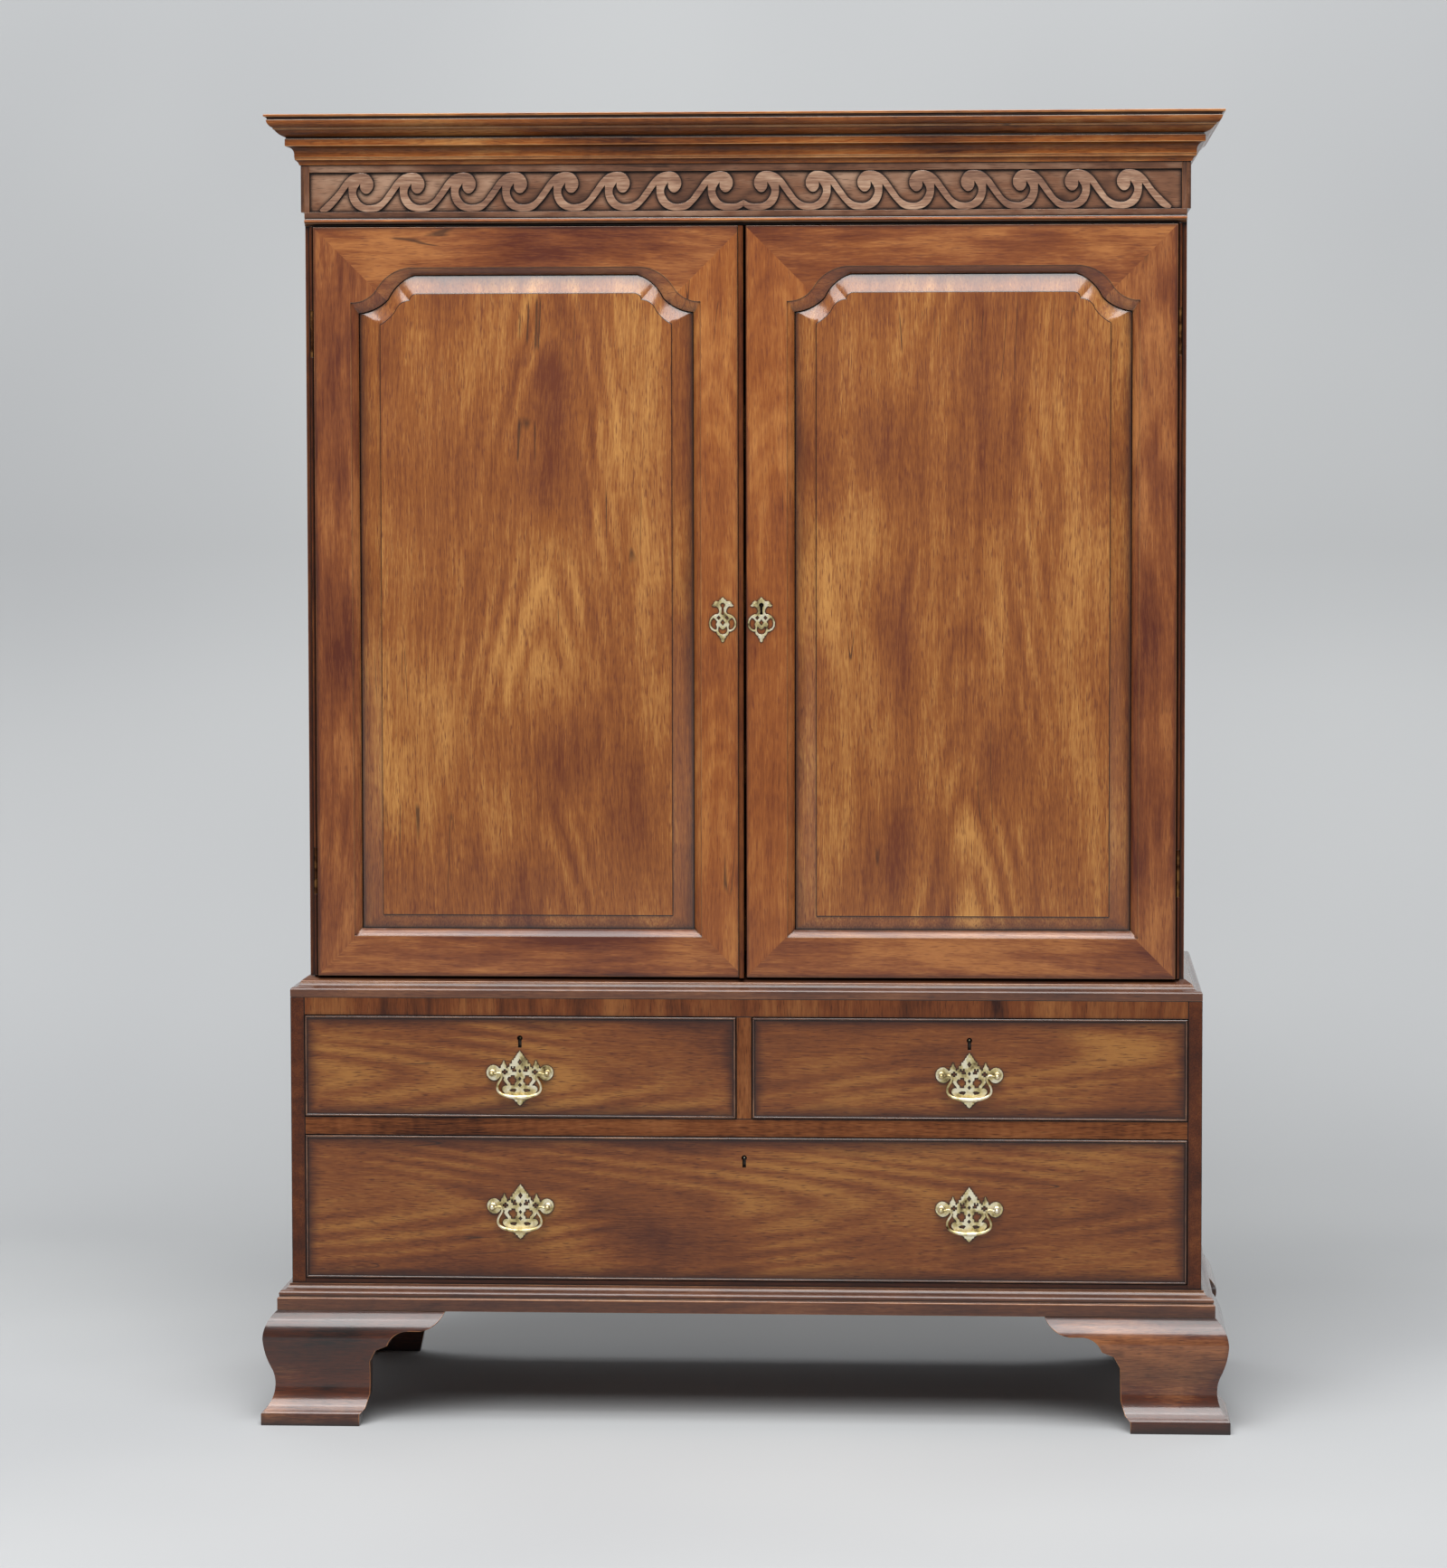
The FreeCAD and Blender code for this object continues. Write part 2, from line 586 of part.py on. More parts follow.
def framed_back(half):
    """A back of three stiles, two rails and two panels, all one thickness apart from the panels."""
    member, panel_in = 90.0, 2.5
    y0, y1 = BACK - BACK_BOARD, BACK
    pieces = []
    for x in (-half, -member / 2, half - member):
        pieces.append(box(x, x + member, y0, y1, PRESS_FLOOR, PRESS_TOP))
    for left, right in ((-half + member, -member / 2), (member / 2, half - member)):
        pieces.append(box(left, right, y0, y1, PRESS_FLOOR, PRESS_FLOOR + member))
        pieces.append(box(left, right, y0, y1, PRESS_TOP - member, PRESS_TOP))
        pieces.append(box(left, right, y0 + panel_in, y1 - panel_in, PRESS_FLOOR + member,
                          PRESS_TOP - member))
    return pieces


def frieze():
    """Ground board, frame, side bands, scroll and the astragal over the doors."""
    ground = PRESS_FRONT - FRIEZE_GROUND
    rail_bottom = FRIEZE_BOTTOM + FRIEZE_RAIL_RISE
    rail_top = rail_bottom + FRIEZE_RAIL
    strip_bottom = PRESS_TOP - FRIEZE_TOP_STRIP
    board = box(-PRESS_HALF, PRESS_HALF, ground, PRESS_FRONT, FRIEZE_BOTTOM, PRESS_TOP)

    inner = FRIEZE_HALF - FRIEZE_STILE
    band = box(PRESS_HALF, FRIEZE_HALF, FRIEZE_FACE, BACK, rail_top, PRESS_TOP)
    corner = [edge for edge in band.Edges
              if edge.CenterOfMass.x > FRIEZE_HALF - 0.01 and edge.CenterOfMass.y < FRIEZE_FACE + 0.01]
    band = band.makeFillet(3.5, corner)
    stile = box(inner, PRESS_HALF, FRIEZE_FACE, ground, rail_top, PRESS_TOP)
    strip = box(-inner, inner, FRIEZE_FACE, ground, strip_bottom, PRESS_TOP)
    rail = box(-PRESS_HALF, PRESS_HALF, FRIEZE_FACE, ground, rail_bottom, rail_top)
    save("frieze", board, strip, rail, stile, mirrored(stile), band, mirrored(band))

    nose = PRESS_FRONT - ASTRAGAL_PROJECTION
    profile = outline(
        lambda p, z: V(-PRESS_HALF, ground - p, FRIEZE_BOTTOM + z),
        (0, 0.5),
        ((2.6, 2.2), (5.2, 3.6)),
        ((5.2, 4.6),),
        ((ground - nose - 2.0, 4.6),),
        ((ground - nose, 6.8), (ground - nose - 2.0, 9.0)),
        ((FRIEZE_RELIEF - 1.0, 9.0),),
        ((FRIEZE_RELIEF - 1.0, FRIEZE_RAIL_RISE),),
        ((0, FRIEZE_RAIL_RISE),),
    )
    save("frieze_astragal", prism(profile, V(2 * PRESS_HALF, 0, 0)))
    save("frieze_scroll", *vitruvian_scroll(ground, rail_top))


def vitruvian_scroll(ground, foot):
    """Two fret-cut lengths of running waves, which curl towards the middle and meet in a cusp."""
    crest = PRESS_TOP - FRIEZE_TOP_STRIP - foot - 0.3
    notch, neck = (-19.1, 36.0), (-19.8, 48.5)
    stem = [(-17.6, 19.0), (-9.0, 6.0), (3.0, 0.9), (12.0, 0.4)]
    under_head = [(12.0, 9.6), (1.5, 11.8), (-5.6, 19.5), (-8.0, 29.0), (-2.6, 39.7)]
    head = [(-1.4, 31.0), (5.9, 25.7), (13.6, 30.6), (16.4, 39.0), (13.6, 47.6), (8.0, 53.2),
            (0.0, crest), (-10.5, crest - 0.8)]
    strand = [(24.0, 2.2), (34.0, 10.4), (notch[0] + SCROLL_PITCH, notch[1]),
              (neck[0] + SCROLL_PITCH, neck[1]), (36.9, 27.9), (26.0, 14.6)]
    meeting = [(24.0, 1.6), (SCROLL_CENTRE, 6.0), (SCROLL_CENTRE, 15.0), (22.0, 10.4)]
    tail = [(-38.9, 10.4), (-48.9, 1.8), (2.1 - SCROLL_TAIL, 0.6), (-SCROLL_TAIL, 3.4),
            (-53.7, 10.0), (-36.0, 27.9)]

    relief = V(0, -FRIEZE_RELIEF, 0)
    pieces = []
    for index in range(SCROLL_WAVES):
        crest_x = -SCROLL_CENTRE - index * SCROLL_PITCH
        onward = strand if index else meeting
        corners = [notch, *stem, *onward, *under_head, *head, neck]
        if index == SCROLL_WAVES - 1:
            corners += list(reversed(tail))
        place = lambda x, z: V(crest_x + x, ground, foot + z)
        wave = outline(place, corners[0], *[(corner,) for corner in corners[1:]])
        pieces.append(prism(wave, relief))
    half = fuse(pieces)
    return half, mirrored(half)


# ---- Doors ------------------------------------------------------------------------------------
def shouldered(left, right, bottom, top, y, inset):
    """Outline of a door's opening with ogee shoulders, drawn smaller all round by one distance."""
    wide, high = SHOULDER_WIDE, SHOULDER_HIGH
    lean = inset * 0.42
    place = at_depth(y)
    left, right, bottom, top = left + inset, right - inset, bottom + inset, top - inset
    drop = high + lean
    bend_x, bend_z = 38.0 + lean, 29.0 + lean
    reach = wide - lean
    return outline(
        place,
        (left, bottom),
        ((left, top - drop),),
        ((left + 21.0, top - drop + 4.4 + lean * 0.2), (left + bend_x, top - bend_z)),
        ((left + 57.0 + lean * 0.5, top - 9.4 - lean * 0.4), (left + reach, top)),
        ((right - reach, top),),
        ((right - 57.0 - lean * 0.5, top - 9.4 - lean * 0.4), (right - bend_x, top - bend_z)),
        ((right - 21.0, top - drop + 4.4 + lean * 0.2), (right, top - drop)),
        ((right, bottom),),
    )


def field_outline(left, right, bottom, top, y):
    """Outline of the raised field: ogee shoulders that end in a cusp and a small quarter round."""
    corner_drop, cusp_x, cusp_z = 44.0, 42.4, 9.4
    return outline(
        at_depth(y),
        (left, bottom),
        ((left, top - corner_drop),),
        ((left + 13.0, top - 34.8), (left + 22.0, top - 24.6)),
        ((left + 30.0, top - 13.6), (left + cusp_x, top - cusp_z)),
        ((left + 46.0, top - 2.6), (left + 54.0, top)),
        ((right - 54.0, top),),
        ((right - 46.0, top - 2.6), (right - cusp_x, top - cusp_z)),
        ((right - 30.0, top - 13.6), (right - 22.0, top - 24.6)),
        ((right - 13.0, top - 34.8), (right, top - corner_drop)),
        ((right, bottom),),
    )


def bevel_foot(left, right, bottom, top, y):
    """The outline that the bevel falls to, with an edge for each edge of the field's outline."""
    drop, reach = SHOULDER_HIGH + 4.4, SHOULDER_WIDE - 4.4
    return outline(
        at_depth(y),
        (left, bottom),
        ((left, top - drop),),
        ((left + 23.0, top - 47.2), (left + 37.0, top - 36.0)),
        ((left + 43.0, top - 24.0), (left + 53.0, top - 12.4)),
        ((left + 64.0, top - 3.6), (left + reach, top)),
        ((right - reach, top),),
        ((right - 64.0, top - 3.6), (right - 53.0, top - 12.4)),
        ((right - 43.0, top - 24.0), (right - 37.0, top - 36.0)),
        ((right - 23.0, top - 47.2), (right, top - drop)),
        ((right, bottom),),
    )


def door_frame(left, right, left_stile, right_stile):
    """Two stiles and two rails, mitred, with an ovolo worked round the shouldered opening."""
    opening = (left + left_stile, right - right_stile, DOOR_BOTTOM + DOOR_RAIL, DOOR_TOP - DOOR_RAIL)
    slab = box(left, right, DOOR_FACE, DOOR_BACK, DOOR_BOTTOM, DOOR_TOP)
    plate_front = DOOR_BACK - PANEL_PLATE - 3.0
    sections = [(0.0, 1.4), (5.2, 3.6), (STICKING, 9.2)]
    cutters = [prism(shouldered(*opening, DOOR_FACE - 1, 0.0), V(0, 1 + sections[0][1], 0))]
    for (inset_a, deep_a), (inset_b, deep_b) in zip(sections, sections[1:]):
        first = shouldered(*opening, DOOR_FACE + deep_a, inset_a)
        second = shouldered(*opening, DOOR_FACE + deep_b, inset_b)
        cutters.append(Part.makeLoft([first, second], True, True))
    through = DOOR_FACE + sections[-1][1]
    cutters.append(prism(shouldered(*opening, through, STICKING), V(0, DOOR_BACK - through + 1, 0)))
    cutters.append(panel_box(opening, plate_front))
    frame = slab
    for cutter in cutters:
        frame = frame.cut(cutter)
    return mitred_frame(frame, left, right, left_stile, right_stile), opening


def panel_box(opening, plate_front):
    """Room in the frame for the panel's edges."""
    left, right, bottom, top = opening
    edge = STICKING - PANEL_GROOVE
    return box(left + edge, right - edge, plate_front, plate_front + PANEL_PLATE, bottom + edge,
               top - edge)


def mitred_frame(frame, left, right, left_stile, right_stile):
    """Part a frame into two stiles and two rails along 45 degree cuts from its corners."""
    middle_z = (DOOR_BOTTOM + DOOR_TOP) / 2
    reach = (right - left) / 2
    y0, y1 = DOOR_FACE - 10, DOOR_BACK + 10
    pieces = []
    for x, way in ((left, 1), (right, -1)):
        keep = outline(at_depth(y0), (x, DOOR_BOTTOM), ((x + way * reach, DOOR_BOTTOM + reach),),
                       ((x + way * reach, DOOR_TOP - reach),), ((x, DOOR_TOP),))
        pieces.append(frame.common(prism(keep, V(0, y1 - y0, 0))))
    for z, way in ((DOOR_BOTTOM, 1), (DOOR_TOP, -1)):
        keep = outline(at_depth(y0), (left, z), ((left + reach, z + way * reach),), ((right, z),))
        pieces.append(frame.common(prism(keep, V(0, y1 - y0, 0))))
    assert middle_z > DOOR_BOTTOM + reach
    return pieces


def door_panel(opening):
    """A panel with a bevel that rises to a stepped, shouldered field."""
    left, right, bottom, top = opening
    plate_front = DOOR_BACK - PANEL_PLATE - 3.0
    field_y = DOOR_FACE + FIELD_SUNK
    plate = panel_box(opening, plate_front)
    side, end = PANEL_BEVEL_SIDE, PANEL_BEVEL_END
    field = (left + side, right - side, bottom + end - STICKING * 0.6, top - end)
    edge = STICKING
    foot = bevel_foot(left + edge, right - edge, bottom + edge, top - edge, plate_front)
    crown = field_outline(*field, field_y + FIELD_STEP)
    clear = prism(shouldered(*opening, field_y, STICKING + PANEL_CLEARANCE), V(0, PANEL_PLATE + 10, 0))
    bevel = Part.makeLoft([foot, crown], True, True).common(clear)
    raised = prism(field_outline(*field, field_y + FIELD_STEP), V(0, -FIELD_STEP, 0))
    return fuse([plate, bevel, raised])


def keyhole(x, z, y0, y1, worn=1.0):
    """An eight-sided hole with a slot below it, through a thickness."""
    across, up = V(1, 0, 0), V(0, 0, 1)
    half_slot = KEYHOLE_SLOT / 2 * worn
    eye = faceted([ring(V(x, y, z), across, up, KEYHOLE_RADIUS * worn, 8) for y in (y0, y1)])
    slot = box(x - half_slot, x + half_slot, y0, y1, z - KEYHOLE_DROP, z)
    return fuse([eye, slot])


def hinge_heights():
    """Middle of each hinge."""
    first, last = DOOR_BOTTOM + HINGE_INSET, DOOR_TOP - HINGE_INSET
    step = (last - first) / (HINGES_PER_DOOR - 1)
    return [first + index * step for index in range(HINGES_PER_DOOR)]


def hinge_leaf_space(z):
    """Recess in the right-hand case side for a hinge leaf."""
    x = DOOR_OUTER + DOOR_SIDE_GAP
    return box(x, x + HINGE_LEAF, PRESS_FRONT, DOOR_BACK + DOOR_BACK_GAP - 1.5,
               z - HINGE_LENGTH / 2, z + HINGE_LENGTH / 2)


def knuckle(z0, z1):
    """One barrel of a right-hand hinge."""
    return bar(KNUCKLE_RADIUS, PIN_X, PIN_Y, z0, z1)


def hinge_side_beads():
    """Lengths of bead in the hollow beside the right door, in line with the hinge knuckles."""
    ends = [DOOR_BOTTOM]
    for z in hinge_heights():
        ends += [z - HINGE_LENGTH / 2 - KNUCKLE_GAP, z + HINGE_LENGTH / 2 + KNUCKLE_GAP]
    ends.append(FRIEZE_BOTTOM)
    front, back = PIN_Y - KNUCKLE_RADIUS, PRESS_FRONT + QUIRK_DEPTH
    left, right = PIN_X - KNUCKLE_RADIUS, PIN_X + KNUCKLE_RADIUS
    beads = []
    for low, high in zip(ends[::2], ends[1::2]):
        section = outline(lambda x, y: V(x, y, low), (left, back), ((left, PIN_Y),),
                          ((PIN_X, front), (right, PIN_Y)), ((right, back),))
        beads.append(prism(section, V(0, 0, high - low)))
    return beads


def right_hinges():
    """Butt hinges of the right door: leaves let into the case, and leaves let into the door."""
    case_leaves, door_leaves = [], []
    third = HINGE_LENGTH / 3
    leaf_x = DOOR_OUTER + DOOR_SIDE_GAP
    leaf_back = DOOR_BACK + DOOR_BACK_GAP - 1.5
    for z in hinge_heights():
        low, high = z - HINGE_LENGTH / 2, z + HINGE_LENGTH / 2
        inner_low, inner_high = low + third, high - third
        leaf = box(leaf_x, leaf_x + HINGE_LEAF, PIN_Y + 1.0, leaf_back, low, high)
        notch = box(leaf_x, leaf_x + HINGE_LEAF, PIN_Y, PIN_Y + KNUCKLE_RADIUS + 0.5,
                    inner_low - KNUCKLE_GAP, inner_high + KNUCKLE_GAP)
        barrels = [knuckle(low, inner_low - KNUCKLE_GAP), knuckle(inner_high + KNUCKLE_GAP, high)]
        pin = bar(PIN_RADIUS, PIN_X, PIN_Y, inner_low - 1, inner_high + 1)
        case_leaves.append(fuse([leaf.cut(notch), *barrels, pin]))

        tongue = box(DOOR_OUTER - HINGE_LEAF, PIN_X - PIN_RADIUS - 0.5, PIN_Y - 1.0, PIN_Y + 1.6,
                     inner_low, inner_high)
        bore = bar(PIN_BORE, PIN_X, PIN_Y, low, high, 12)
        door_leaf = fuse([door_leaf_space(z), tongue, knuckle(inner_low, inner_high)])
        door_leaves.append(door_leaf.cut(bore))
    return case_leaves, door_leaves


def door_leaf_space(z):
    """Recess in the right door's outer edge, which its hinge leaf fills."""
    return box(DOOR_OUTER - HINGE_LEAF, DOOR_OUTER, PIN_Y - 2.0, DOOR_BACK - 1.5,
               z - HINGE_LENGTH / 2, z + HINGE_LENGTH / 2)


def flush_bar(z0, z1):
    """The sliding bar of a flush bolt, in the left door's meeting stile."""
    x = LEFT_DOOR_EDGE - FLUSH_INSET
    y1 = DOOR_BACK - FLUSH_PLATE_THICK - BOLT_CLEARANCE
    return box(x - FLUSH_BAR_WIDTH / 2, x + FLUSH_BAR_WIDTH / 2, y1 - FLUSH_BAR_THICK, y1, z0, z1)


def flush_bolt_hole():
    """Clearance in the floor and the head rail for the two flush bolts."""
    x = LEFT_DOOR_EDGE - FLUSH_INSET
    y = DOOR_BACK - FLUSH_PLATE_THICK - BOLT_CLEARANCE - FLUSH_BAR_THICK / 2
    half_x, half_y = FLUSH_BAR_WIDTH / 2 + 1, FLUSH_BAR_THICK / 2 + 1
    depth = FLUSH_THROW + 2
    low = box(x - half_x, x + half_x, y - half_y, y + half_y, PRESS_FLOOR - depth, PRESS_FLOOR)
    high = box(x - half_x, x + half_x, y - half_y, y + half_y, FRIEZE_BOTTOM, FRIEZE_BOTTOM + depth)
    return low.fuse(high)


def flush_bolts(frame_pieces):
    """Bars, plates and the grooves for them, at the top and bottom of the left door."""
    x = LEFT_DOOR_EDGE - FLUSH_INSET
    plate_half = FLUSH_PLATE_WIDTH / 2
    bars, plates, grooves = [], [], []
    for end, way in ((DOOR_TOP, -1), (DOOR_BOTTOM, 1)):
        tip = end + way * 0.6
        bar_end = tip + way * FLUSH_BAR_LENGTH
        bar = flush_bar(min(tip, bar_end), max(tip, bar_end))
        knob_z = end + way * FLUSH_PLATE_LENGTH * 0.62
        knob_ends = (DOOR_BACK - FLUSH_PLATE_THICK - 1.5, DOOR_BACK + FLUSH_KNOB_PROUD)
        knob = faceted([ring(V(x, y, knob_z), V(1, 0, 0), V(0, 0, 1), FLUSH_KNOB_RADIUS, 8)
                        for y in knob_ends])
        bars.append(fuse([bar, knob]))
        plate_end = end + way * FLUSH_PLATE_LENGTH
        low, high = min(end, plate_end), max(end, plate_end)
        plate_space = box(x - plate_half, x + plate_half, DOOR_BACK - FLUSH_PLATE_THICK, DOOR_BACK,
                          low, high)
        slot_end = knob_z - way * FLUSH_THROW
        slot = box(x - FLUSH_KNOB_RADIUS - 0.3, x + FLUSH_KNOB_RADIUS + 0.3,
                   DOOR_BACK - FLUSH_PLATE_THICK, DOOR_BACK,
                   min(knob_z, slot_end) - FLUSH_KNOB_RADIUS - 0.5,
                   max(knob_z, slot_end) + FLUSH_KNOB_RADIUS + 0.5)
        plates.append(plate_space.cut(slot))
        bar_y = DOOR_BACK - FLUSH_PLATE_THICK - FLUSH_BAR_THICK - 2 * BOLT_CLEARANCE
        groove_half = FLUSH_BAR_WIDTH / 2 + BOLT_CLEARANCE
        groove_end = end + way * (FLUSH_BAR_LENGTH + 3)
        grooves.append(plate_space)
        grooves.append(box(x - groove_half, x + groove_half, bar_y, DOOR_BACK,
                           min(end, groove_end), max(end, groove_end)))
    return [piece.cut(grooves) for piece in frame_pieces], plates, bars


def left_door():
    """The dummy leaf: meeting bead, blind escutcheon and flush bolts."""
    outer, meeting = -DOOR_OUTER, LEFT_DOOR_EDGE
    pieces, opening = door_frame(outer, meeting, DOOR_STILE, meeting + DOOR_OPENING_INNER)
    bead_space = box(meeting - BEAD_WIDTH, meeting, DOOR_FACE, DOOR_FACE + BEAD_DEPTH - BEAD_PROUD,
                     DOOR_BOTTOM, DOOR_TOP)
    lock_mortise = box(meeting - MORTISE_DEPTH, meeting, door_bolt_y() - BOLT_THICK / 2 - 1,
                       door_bolt_y() + BOLT_THICK / 2 + 1, KEY_Z - BOLT_WIDTH / 2 - 1,
                       KEY_Z + BOLT_WIDTH / 2 + 1)
    case_leaves, door_leaves = right_hinges()
    leaf_spaces = [mirrored(door_leaf_space(z)) for z in hinge_heights()]
    pieces = [piece.cut([bead_space, lock_mortise, *leaf_spaces]) for piece in pieces]
    pieces, plates, bars = flush_bolts(pieces)
    save("left_door_frame", *pieces)
    save("left_door_panel", door_panel(opening))
    save("left_door_bolt_plates", *plates)
    save("left_door_top_bolt", bars[0])
    save("left_door_bottom_bolt", bars[1])
    save("left_door_hinges", *[mirrored(leaf) for leaf in door_leaves])
    save("case_hinges", *case_leaves, *[mirrored(leaf) for leaf in case_leaves])
    save("meeting_bead", meeting_bead())
    save("left_escutcheon", escutcheon(DOOR_KEY_LEFT))


def meeting_bead():
    """Round-nosed strip on the left door's meeting edge, which hides the joint."""
    right = LEFT_DOOR_EDGE
    left = right - BEAD_WIDTH
    front = DOOR_FACE - BEAD_PROUD
    back = front + BEAD_DEPTH
    spring = front + BEAD_WIDTH * 0.38
    profile = outline(
        lambda x, y: V(x, y, DOOR_BOTTOM - 0.8),
        (left, back),
        ((left, DOOR_FACE + 1.0),),
        ((left + 0.8, DOOR_FACE + 1.0),),
        ((left + 0.8, spring),),
        (((left + right + 0.8) / 2, front), (right, spring)),
        ((right, back),),
    )
    return prism(profile, V(0, 0, DOOR_HEIGHT + 0.8))


def door_bolt_y():
    """Middle of the door lock's bolt, from front to back."""
    return DOOR_BACK - LOCK_DEPTH / 2


def right_door():
    """The opening leaf: keyhole, lock and rounded meeting edge."""
    meeting, outer = RIGHT_DOOR_EDGE, DOOR_OUTER
    pieces, opening = door_frame(meeting, outer, DOOR_OPENING_INNER - meeting, DOOR_STILE)
    case = box(meeting, meeting + LOCK_WIDTH - 10, DOOR_BACK - LOCK_DEPTH, DOOR_BACK,
               KEY_Z - LOCK_HEIGHT / 2, KEY_Z + LOCK_HEIGHT / 2)
    hole = keyhole(DOOR_KEY_RIGHT, KEY_Z, DOOR_FACE - 5, DOOR_BACK - LOCK_DEPTH)
    leaf_spaces = [door_leaf_space(z) for z in hinge_heights()]
    arris = arris_waste(meeting)
    save("right_door_frame", *[piece.cut([case, hole, arris, *leaf_spaces]) for piece in pieces])
    save("right_door_panel", door_panel(opening))
    _, door_leaves = right_hinges()
    save("right_door_hinges", *door_leaves)

    y = door_bolt_y()
    bolt_x = meeting + BOLT_CLEARANCE
    bolt = box(bolt_x, bolt_x + BOLT_LENGTH, y - BOLT_THICK / 2, y + BOLT_THICK / 2,
               KEY_Z - BOLT_WIDTH / 2, KEY_Z + BOLT_WIDTH / 2)
    room = box(meeting, bolt_x + BOLT_LENGTH + 1, y - BOLT_THICK / 2 - BOLT_CLEARANCE,
               y + BOLT_THICK / 2 + BOLT_CLEARANCE, KEY_Z - BOLT_WIDTH / 2 - BOLT_CLEARANCE,
               KEY_Z + BOLT_WIDTH / 2 + BOLT_CLEARANCE)
    save("right_door_lock", case.cut(room))
    save("right_door_lock_bolt", bolt)
    brass = escutcheon(DOOR_KEY_RIGHT)
    save("right_escutcheon", brass)


def arris_waste(edge):
    """What is planed off to round the front corner of the right door's meeting edge."""
    y = DOOR_FACE
    corner = outline(lambda x, d: V(edge + x, y + d, DOOR_BOTTOM - 1), (0, 0), ((ARRIS, 0),),
                     ((ARRIS * 0.3, ARRIS * 0.3), (0, ARRIS)))
    return prism(corner, V(0, 0, DOOR_HEIGHT + 2))


# ---- Brass escutcheons ------------------------------------------------------------------------
def escutcheon(x):
    """Pierced keyhole plate: finial, leaves, neck, two side loops, lattice and pendant."""
    y = DOOR_FACE - ESCUTCHEON
    place = lambda u, w: V(x + u, y, KEY_Z + w)
    deep = V(0, ESCUTCHEON, 0)
    leaves = [(0, 12.5), (3.0, 9.5), (4.0, 6.6), (10.5, 6.2), (16.2, 0.8), (6.5, -2.2)]
    loops = [(4.6, -7.0), (6.4, -11.6), (12.5, -13.8), (18.3, -18.5), (20.2, -25.5),
             (18.0, -32.5), (12.8, -36.6), (8.5, -37.5)]
    pendant = [(5.9, -42.5), (5.9, -45.0), (2.8, -46.6), (2.8, -50.6), (0, -52.6)]
    holes = [diamond(place, 0, -25.0, 3.2, 4.4), diamond(place, 0, -35.4, 4.6, 4.6)]
    for way in (-1, 1):
        side = lambda u, w, way=way: V(x + way * u, y, KEY_Z + w)
        holes.append(diamond(side, 5.2, -18.0, 2.4, 3.0))
        holes.append(outline(side, (11.4, -16.8), ((17.6, -22.0),), ((17.6, -28.6),),
                             ((12.8, -33.6),), ((8.2, -29.4),)))
    plate = prism(symmetric(place, leaves + loops + pendant), deep)
    return plate.cut([prism(hole, deep) for hole in holes] +
                     [keyhole(x, KEY_Z, y - 1, DOOR_FACE + 1)])


# ---- Drawers ----------------------------------------------------------------------------------
def tails(x0, x1, y_narrow, y_wide, z0, z1):
    """Dovetails of a drawer side, narrow where they leave it and wide at their ends."""
    count = max(2, round((z1 - z0) / TAIL_PITCH))
    pitch = (z1 - z0) / count
    pin = pitch * 0.28
    shapes = []
    for index in range(count):
        low, high = z0 + index * pitch + pin / 2, z0 + (index + 1) * pitch - pin / 2
        wire = outline(lambda y, z: V(x0, y, z), (y_narrow, low + TAIL_FLARE),
                       ((y_wide, low),), ((y_wide, high),), ((y_narrow, high - TAIL_FLARE),))
        shapes.append(prism(wire, V(x1 - x0, 0, 0)))
    return shapes


def cock_beads(x0, x1, z0, z1):
    """Four mitred strips round a drawer front, proud of it, with a round nose."""
    face = BASE_FRONT - COCK_PROUD
    back = BASE_FRONT + DRAWER_FRONT
    nose = COCK_BEAD / 4
    section = ((0, back), ((0, face + nose),), ((nose, face),), ((COCK_BEAD - nose, face),),
               ((COCK_BEAD, face + nose),), ((COCK_BEAD, back),))
    middle_z = (z0 + z1) / 2
    half_high = (z1 - z0) / 2
    strips = []
    for z, way in ((z0, 1), (z1, -1)):
        strip = prism(outline(lambda s, y: V(x0, y, z + way * s), *section), V(x1 - x0, 0, 0))
        keep = outline(at_depth(face - 1), (x0, z), ((x0 + half_high, middle_z),),
                       ((x1 - half_high, middle_z),), ((x1, z),))
        strips.append(strip.common(prism(keep, V(0, back - face + 2, 0))))
    for x, way in ((x0, 1), (x1, -1)):
        strip = prism(outline(lambda s, y: V(x + way * s, y, z0), *section), V(0, 0, z1 - z0))
        keep = outline(at_depth(face - 1), (x, z0), ((x + way * half_high, middle_z),), ((x, z1),))
        strips.append(strip.common(prism(keep, V(0, back - face + 2, 0))))
    return strips


